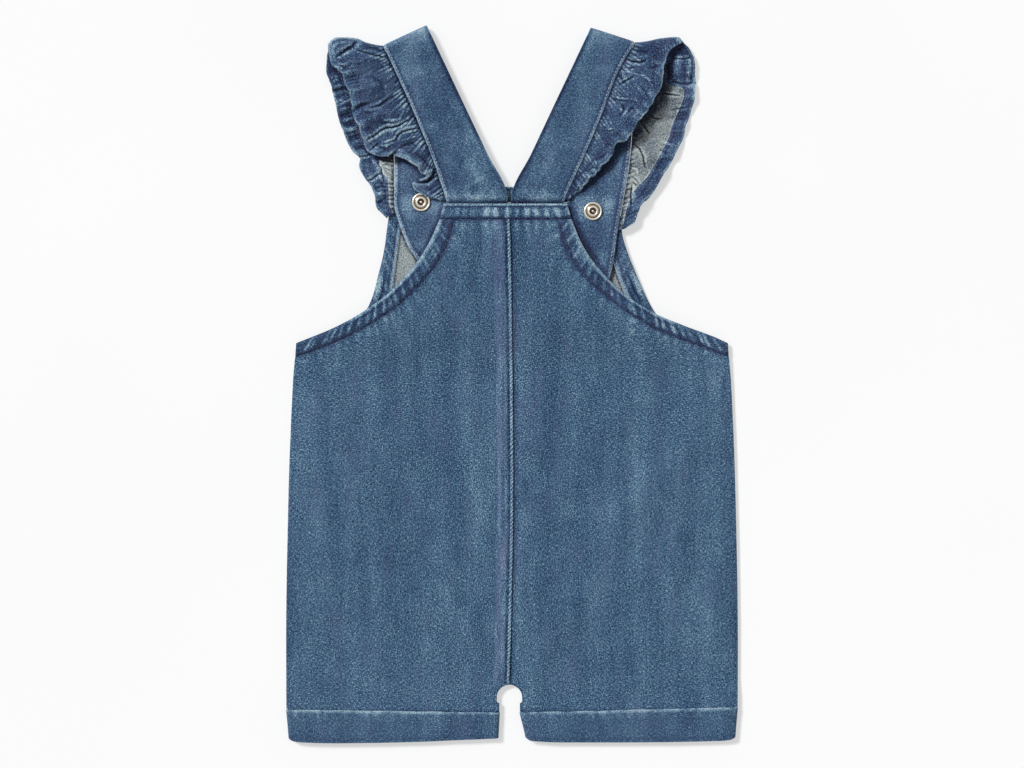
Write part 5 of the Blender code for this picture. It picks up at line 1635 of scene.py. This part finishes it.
@dataclass
class Frill(Cloth):
    """A gathered frill on a strap's outer edge, over the shoulder and down inside the bib."""

    side: Side
    strap: Strap
    cloth: float = 1.0
    length: float = 270.0
    hem_width: float = 8.0
    hem_from: float = 0.70
    near_columns: int = 420
    far_columns: int = 330
    pleats: tuple[int, int] = (36, 42)
    waves: int = 7
    ripples: int = 17
    start: float = 0.055
    bow_share: float = 0.05
    bow_turn: float = math.radians(79)

    def seam(self, near: bool, share: Array) -> Array:
        """Points of the strap's outer edge that one stretch is sewn to."""
        from_bow = share if not near else 1 - share
        turn = self.bow_turn * np.maximum(1 - from_bow / self.bow_share, 0.0)
        if near:
            flat = np.minimum(share / (1 - self.bow_share), 1.0)
            on_flat = self.strap.near_point(0.0, self.start + (1 - self.start) * flat)
            return np.where((flat < 1)[..., None], on_flat, self.strap.bow_point(0.0, turn))
        flat = self.side.pick(0.70, 0.76) * np.maximum((share - self.bow_share) / (1 - self.bow_share), 0.0)
        on_bow = (share < self.bow_share)[..., None]
        return np.where(on_bow, self.strap.bow_point(0.0, math.pi - turn), self.strap.far_point(0.0, flat))

    def relief(self, near: bool, share: Array, inset: Array, depth: Array) -> tuple[Array, Array]:
        """Height of the pleats and folds, and of the rolls at the hem.

        Args:
            near: whether it is the stretch over the back.
            share: along the seam.
            inset: distance from the seam.
            depth: distance from the seam to the hem.

        Returns:
            Both heights, in millimetres.
        """
        seed, out, count = 200 + 10 * self.side.value + near, inset / depth, self.pleats[near]
        uneven = share + 0.012 * np.sin(9 * math.pi * share) + 0.006 * drift(share * 30, inset / 9, 2.0, seed)
        strong = np.clip(0.75 + 0.7 * drift(share * count * 0.7, 0 * share, 1.0, seed + 1), 0.1, 1.5)
        lasting = np.clip(4.6 + 3.6 * drift(share * count * 0.6, 0 * share, 1.0, seed + 2), 2.0, 9.0)
        small = np.sin(TURN * (count * uneven + 0.13 * inset)) * np.exp(-inset / lasting)
        large = np.sin(TURN * (count / 2.7 * uneven + 0.3 * drift(share * 9, out, 1.0, seed + 3)))
        folds = abs(drift(share * 15 + 0.4 * out, inset / 13, 1.0, seed + 4)) - 0.3
        finer = abs(drift(share * 34 + 0.7 * out, inset / 8, 1.0, seed + 5)) - 0.3
        height = 1.05 * strong * small + 0.40 * large * np.exp(-inset / 10)
        height = height + (0.8 * folds + 0.4 * finer) * (0.35 + 0.65 * np.sin(math.pi * np.clip(out, 0, 1)))
        roll = out * (0.4 + np.sin(TURN * (self.waves * uneven + 0.12 * out)))
        ripple = np.sin(TURN * (self.ripples * uneven + 0.35 * drift(share * 8, out, 1.0, seed + 6)))
        ripple = ripple * np.clip(0.7 + 0.8 * drift(share * 12, out, 1.0, seed + 7), 0.1, 1.5)
        ripple = (0.7 if near else 0.3) * ripple * ramp(out, 0.3, 1.0)
        return (0.85 if near else 0.42) * height, 1.1 * roll + ripple

    def stretch(self, near: bool, share: Array, up: Array) -> tuple[Array, ...]:
        """One stretch's middle layer.

        Args:
            near: whether it is the stretch over the back.
            share: along the seam.
            up: 0 at the seam, hem_from at the hem's stitches and 1 at the hem.

        Returns:
            The points, the distances from the seam to them and from them to the hem, the height that the
            folds add, and the distance from the inner edge of the turned hem.
        """
        rows = (NEAR_FRILL if near else FAR_FRILL)[self.side]
        hem = stacked(*(along(rows, share, i) for i in (1, 2, 3)))
        seam = self.seam(near, share) + np.array([0.35 * self.side.value, 0.05, 0.35])
        depth = np.linalg.norm(hem - seam, axis=-1)
        band = self.hem_width if near else along(HEM_BAND[self.side], share)
        band = np.minimum(band, (0.5 if near else 0.74) * depth)
        inside = np.minimum(up / self.hem_from, 1.0) * (depth - band)
        inset = inside + np.maximum((up - self.hem_from) / (1 - self.hem_from), 0.0) * band
        out = inset / depth
        points = seam + (hem - seam) * out[..., None]
        from_shoulder = 1 - share if near else share
        points[..., 1] += along(SHOULDER_LINE[self.side], out) * (1 - ramp(from_shoulder, 0.0, 0.12))
        ends = np.clip(np.minimum(share, 1 - share) / 0.04, 0.0, 1.0)
        height, roll = self.relief(near, share, inset, depth)
        folds = folded((NEAR_FOLDS if near else FAR_FOLDS)[self.side], points[..., 0], points[..., 1])
        folds = np.minimum(folds, (0.65 if near else 1.0) * folds)
        points[..., 2] += ends * (height + roll) + 1.2 * folds * np.clip(6 * out * (1.3 - out), 0, 1)
        scallop = ends * (0.5 if near else 0.2) * roll * ramp(out, 0.5, 1.0)
        points[..., :2] -= ((hem - seam) / depth[..., None])[..., :2] * scallop[..., None]
        if near:
            points[..., 2] -= 1.1 * ramp(inset - depth, -3.0, 0.0) * ends
        return points, inset, depth - inset, folds, inset - depth + band

    def place(self, across: Array, up: Array) -> Laid:
        """The frill's middle layer at shares along it, foot to end, and from seam to hem."""
        column = across * (self.near_columns + self.far_columns + 1)
        near = np.clip(column / self.near_columns, 0.0, 1.0)
        far = np.clip((column - self.near_columns - 1) / self.far_columns, 0.0, 1.0)
        up = np.clip(up, 0.0, 1.0)
        on_near = column <= self.near_columns + 0.5
        stretches = zip(self.stretch(True, near, up), self.stretch(False, far, up))
        points, inset, to_hem, folds, to_band = (
            np.where(on_near.reshape(on_near.shape + (1,) * (over.ndim - up.ndim)), over, under)
            for over, under in stretches
        )
        points[..., 2] = np.maximum(points[..., 2], self.cloth / 2 + 0.1)
        run, crease = across * self.length, self.hem_width - 1.2
        puckers = 0.2 * np.sin(TURN * run / 3.4 + 3 * drift(run, inset, 9.0, 231))
        puckers = puckers * bump(to_hem, self.hem_width - 2, 3.0) - 0.3 * bump(to_hem, crease, 0.7)
        turned = ramp(up, self.hem_from - 0.03, self.hem_from + 0.01)
        thickness = self.cloth * (0.8 + 0.4 * turned) + puckers + 0.45 * bump(to_hem, 0.6, 0.9)
        lip = bump(near, 0.28, 0.22) if self.side is Side.LEFT else 0.0
        worn = (0.85 + 0.3 * lip) * bump(to_hem, 0.3, 1.0) * (0.8 + 0.5 * drift(run, inset, 6.0, 233))
        worn = worn + 0.34 * lip * bump(to_hem, 2.6, 2.4)
        worn = worn + 0.2 * drift(run, inset, 5.0, 232) + 0.25 * np.maximum(folds, 0)
        worn = worn + 0.7 * bump(to_band, -0.3, 0.55) * ~on_near * (0.7 + 0.6 * drift(run, inset, 2.5, 235))
        # kept dye and painted shade: darker all over, beside the seam, in the fold troughs and in the hem's
        # crease; the last term is painted shadow of the hem over the back, on the stretch inside the bib
        darkening_and_shade = 0.24 + 0.25 * drift(run, inset, 11.0, 234) + 0.6 * bump(inset, 0.3, 1.4)
        darkening_and_shade = darkening_and_shade + 0.8 * np.maximum(-folds - 0.1, 0) + 0.35 * bump(to_hem, crease, 1.0)
        darkening_and_shade = darkening_and_shade + frill_hem_shadow(self.side, points[..., 0], points[..., 1]) * ~on_near
        return Laid(points, stacked(run, inset), thickness, worn, darkening_and_shade)

    def sheet(self, finishes: Finishes) -> Sheet:
        """The frill, whose turned hem shows the cloth's face on both sides."""
        word, columns = self.side.word, self.near_columns + self.far_columns + 1
        nodes = (f"frill_{word}_back", f"frill_{word}_front")
        cut = Cut(nodes, (310, 46), f"cloth_strap_{word}", Hold.GATHERED, 1.12)
        sheet = Sheet(f"cloth_frill_{word}", columns, 46, self.place, (finishes.folded, finishes.wrong), cut)
        return replace(sheet, turned_from=self.hem_from, rim=0.3, relief=(0.7, self.side.pick(2.4, 1.6)))

    def seams(self) -> Seams:
        """The row of stitches that holds the hem, as it shows on both sides."""
        stretches = ((0.01, 0.56), (0.60, 0.985))
        return [(np.linspace(*ends, 400), self.hem_from + 0.05, 0.04) for ends in stretches]


# ---- Snaps ----

# Radius, height and darkness of each step of the turned pieces: patina and painted shade in the grooves and
# the centre, 0 on the rims with their painted highlight
RING = table(
    """5.72 0 0.6; 5.72 0.75 0.4; 5.56 1.1 0; 5.2 1.28 0; 4.89 1.26 0; 4.52 1 0.3; 4.32 0.72 1; 4.11 0.7 1;
    3.85 0.86 0.55; 3.48 0.8 0.7; 3.28 1.2 0.2; 2.96 1.48 0; 2.55 1.52 0; 2.24 1.4 0.1; 1.92 0.85 1;
    1.35 0.5 1; 0.83 0.5 1; 0.42 0.7 0.2"""
)
CAP = table("5.3 0 0; 5.9 0.35 0; 6 0.8 0; 5.6 1.25 0; 5 1.45 0; 2 1.45 0")


@dataclass
class Snap:
    """A snap fastener: its ring on the strap, and its cap outside the front bib."""

    side: Side
    vertices: int = 36
    ring_foot: float = 6.25

    def turn(self, name: str, rings: Array, foot: float, finish: Material) -> Piece:
        """Raises a disc ring by ring into a turned piece, its heights counted from foot."""
        x, y = self.side.pick((-56.6, 113.2), (50.4, 107.6))
        place = (x * MM, y * MM, (foot + rings[0, 1]) * MM)
        bpy.ops.object.select_all(action="DESELECT")
        bpy.ops.mesh.primitive_circle_add(
            vertices=self.vertices, radius=rings[0, 0] * MM, fill_type="NGON", location=place
        )
        piece = bpy.context.object
        piece.name = piece.data.name = name
        bpy.ops.object.transform_apply(location=True, rotation=False, scale=False)
        bpy.ops.object.mode_set(mode="EDIT")
        bpy.ops.mesh.select_all(action="SELECT")
        for before, ring in zip(rings, rings[1:]):
            rise = (0, 0, (ring[1] - before[1]) * MM)
            bpy.ops.mesh.extrude_region_move(TRANSFORM_OT_translate={"value": rise})
            size = ring[0] / before[0]
            bpy.ops.transform.resize(value=(size, size, 1.0), center_override=(x * MM, y * MM, 0.0))
        bpy.ops.mesh.select_all(action="SELECT")
        bpy.ops.mesh.normals_make_consistent(inside=False)
        bpy.ops.object.mode_set(mode="OBJECT")
        spread = [math.hypot(v.co.x / MM - x, v.co.y / MM - y) for v in piece.data.vertices]
        write(piece.data, "darkening_and_shade", np.interp(spread, rings[:0:-1, 0], rings[:0:-1, 2]))
        apply(piece, modifier(piece, "SUBSURF", levels=2, render_levels=2))
        piece.data.materials.append(finish)
        ride(piece)
        return piece

    def build(self, finishes: Finishes) -> None:
        """Makes the ring and the cap and puts them in their nodes' place."""
        for part, rings, foot in (("ring", RING, self.ring_foot), ("cap", CAP, 0.0)):
            piece = self.turn(f"brass_{part}_{self.side.word}", rings, foot, finishes.brass)
            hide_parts(f"snap_{part}_{self.side.word}")


# ---- Garment, floor, light and camera ----


@dataclass
class Garment:
    """The whole garment, sub-assembly by sub-assembly, and the finishes that it is dressed in."""

    finishes: Finishes

    def build(self) -> None:
        """Builds every piece and sews it."""
        hems = Needlework("stitches_hems", self.finishes.navy)
        edges = Needlework("stitches_straps", self.finishes.pale, pitch=2.2, width=0.42)
        frills = Needlework("stitches_frills", self.finishes.rose, length=1.5, pitch=2.3, width=0.36)
        for side in Side:
            for piece in (FrontHalf(side), BackHalf(side), Cuff(side)):
                piece.build(self.finishes)
            for back in (False, True):
                ArmholeHem(side, back).build(self.finishes, hems)
            strap = Strap(side)
            strap.build(self.finishes, edges)
            Frill(side, strap).build(self.finishes, frills)
            Snap(side).build(self.finishes)
        NeckHem(False, foot=113.5, top=123.0, foot_half=71.1, top_half=70.0).build(self.finishes, hems)
        NeckHem(True, foot=102.7, top=112.0, foot_half=40.9, top_half=38.3).build(self.finishes, hems)
        CentreFold().build(self.finishes)
        for needle in (hems, edges, frills):
            needle.make()


@dataclass(frozen=True)
class Studio:
    """A plain pale floor, soft light from the upper left, and a camera that looks straight down."""

    camera_height: float = 1.6
    lens: float = 90.0
    floor_size: float = 6.0
    floor_gap: float = 0.0002
    sky: float = 0.37
    key_strength: float = 2.85
    key_softness: float = math.radians(13)
    key_from: tuple[float, float, float] = (-0.64, 0.50, 0.85)

    def build(self) -> None:
        """Sets up the floor, the light, the colours and the camera."""
        self.lay_floor()
        self.light()
        self.aim_camera()

    def lay_floor(self) -> None:
        """Lays the floor, which isn't part of the garment."""
        bpy.ops.object.select_all(action="DESELECT")
        bpy.ops.mesh.primitive_plane_add(size=self.floor_size, location=(0.0, 0.0, -self.floor_gap))
        floor = bpy.context.object
        floor.name = "floor"
        bpy.ops.object.transform_apply(location=True, rotation=False, scale=False)
        tree = Tree("pale_floor")
        shade = tree.between(tree.noise(tree.place, 3.0), 0.2, 0.8)
        colour = tree.blend(shade, (0.45, 0.45, 0.455), (0.47, 0.47, 0.47))
        glow = {"Emission_Color": (1.0, 1.0, 1.0, 1.0), "Emission_Strength": 0.50}
        floor.data.materials.append(tree.shade(colour, 0.95, Specular_IOR_Level=0.0, **glow))

    def light(self) -> None:
        """Adds an even sky and one soft key light."""
        world = bpy.data.worlds.new("studio")
        bpy.context.scene.world = world
        world.use_nodes = True
        background = world.node_tree.nodes["Background"]
        background.inputs["Color"].default_value = (1.0, 1.0, 1.0, 1.0)
        background.inputs["Strength"].default_value = self.sky
        lamp = bpy.data.lights.new("key", "SUN")
        lamp.energy = self.key_strength
        lamp.angle = self.key_softness
        key = bpy.data.objects.new("key", lamp)
        bpy.context.scene.collection.objects.link(key)
        key.rotation_euler = Vector(self.key_from).to_track_quat("Z", "Y").to_euler()
        bpy.context.scene.view_settings.view_transform = "Standard"

    def aim_camera(self) -> None:
        """Adds the camera over the garment's middle."""
        lens = bpy.data.cameras.new("camera")
        lens.lens = self.lens
        lens.sensor_width = 36.0
        camera = bpy.data.objects.new("camera", lens)
        bpy.context.scene.collection.objects.link(camera)
        camera.location = (0.0, 0.0, self.camera_height)
        bpy.context.scene.camera = camera


def main() -> None:
    """Builds the studio and the garment."""
    logging.basicConfig(level=logging.INFO, format="%(message)s")
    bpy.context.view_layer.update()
    Studio().build()
    Garment(Finishes()).build()


if __name__ == "__main__":
    main()
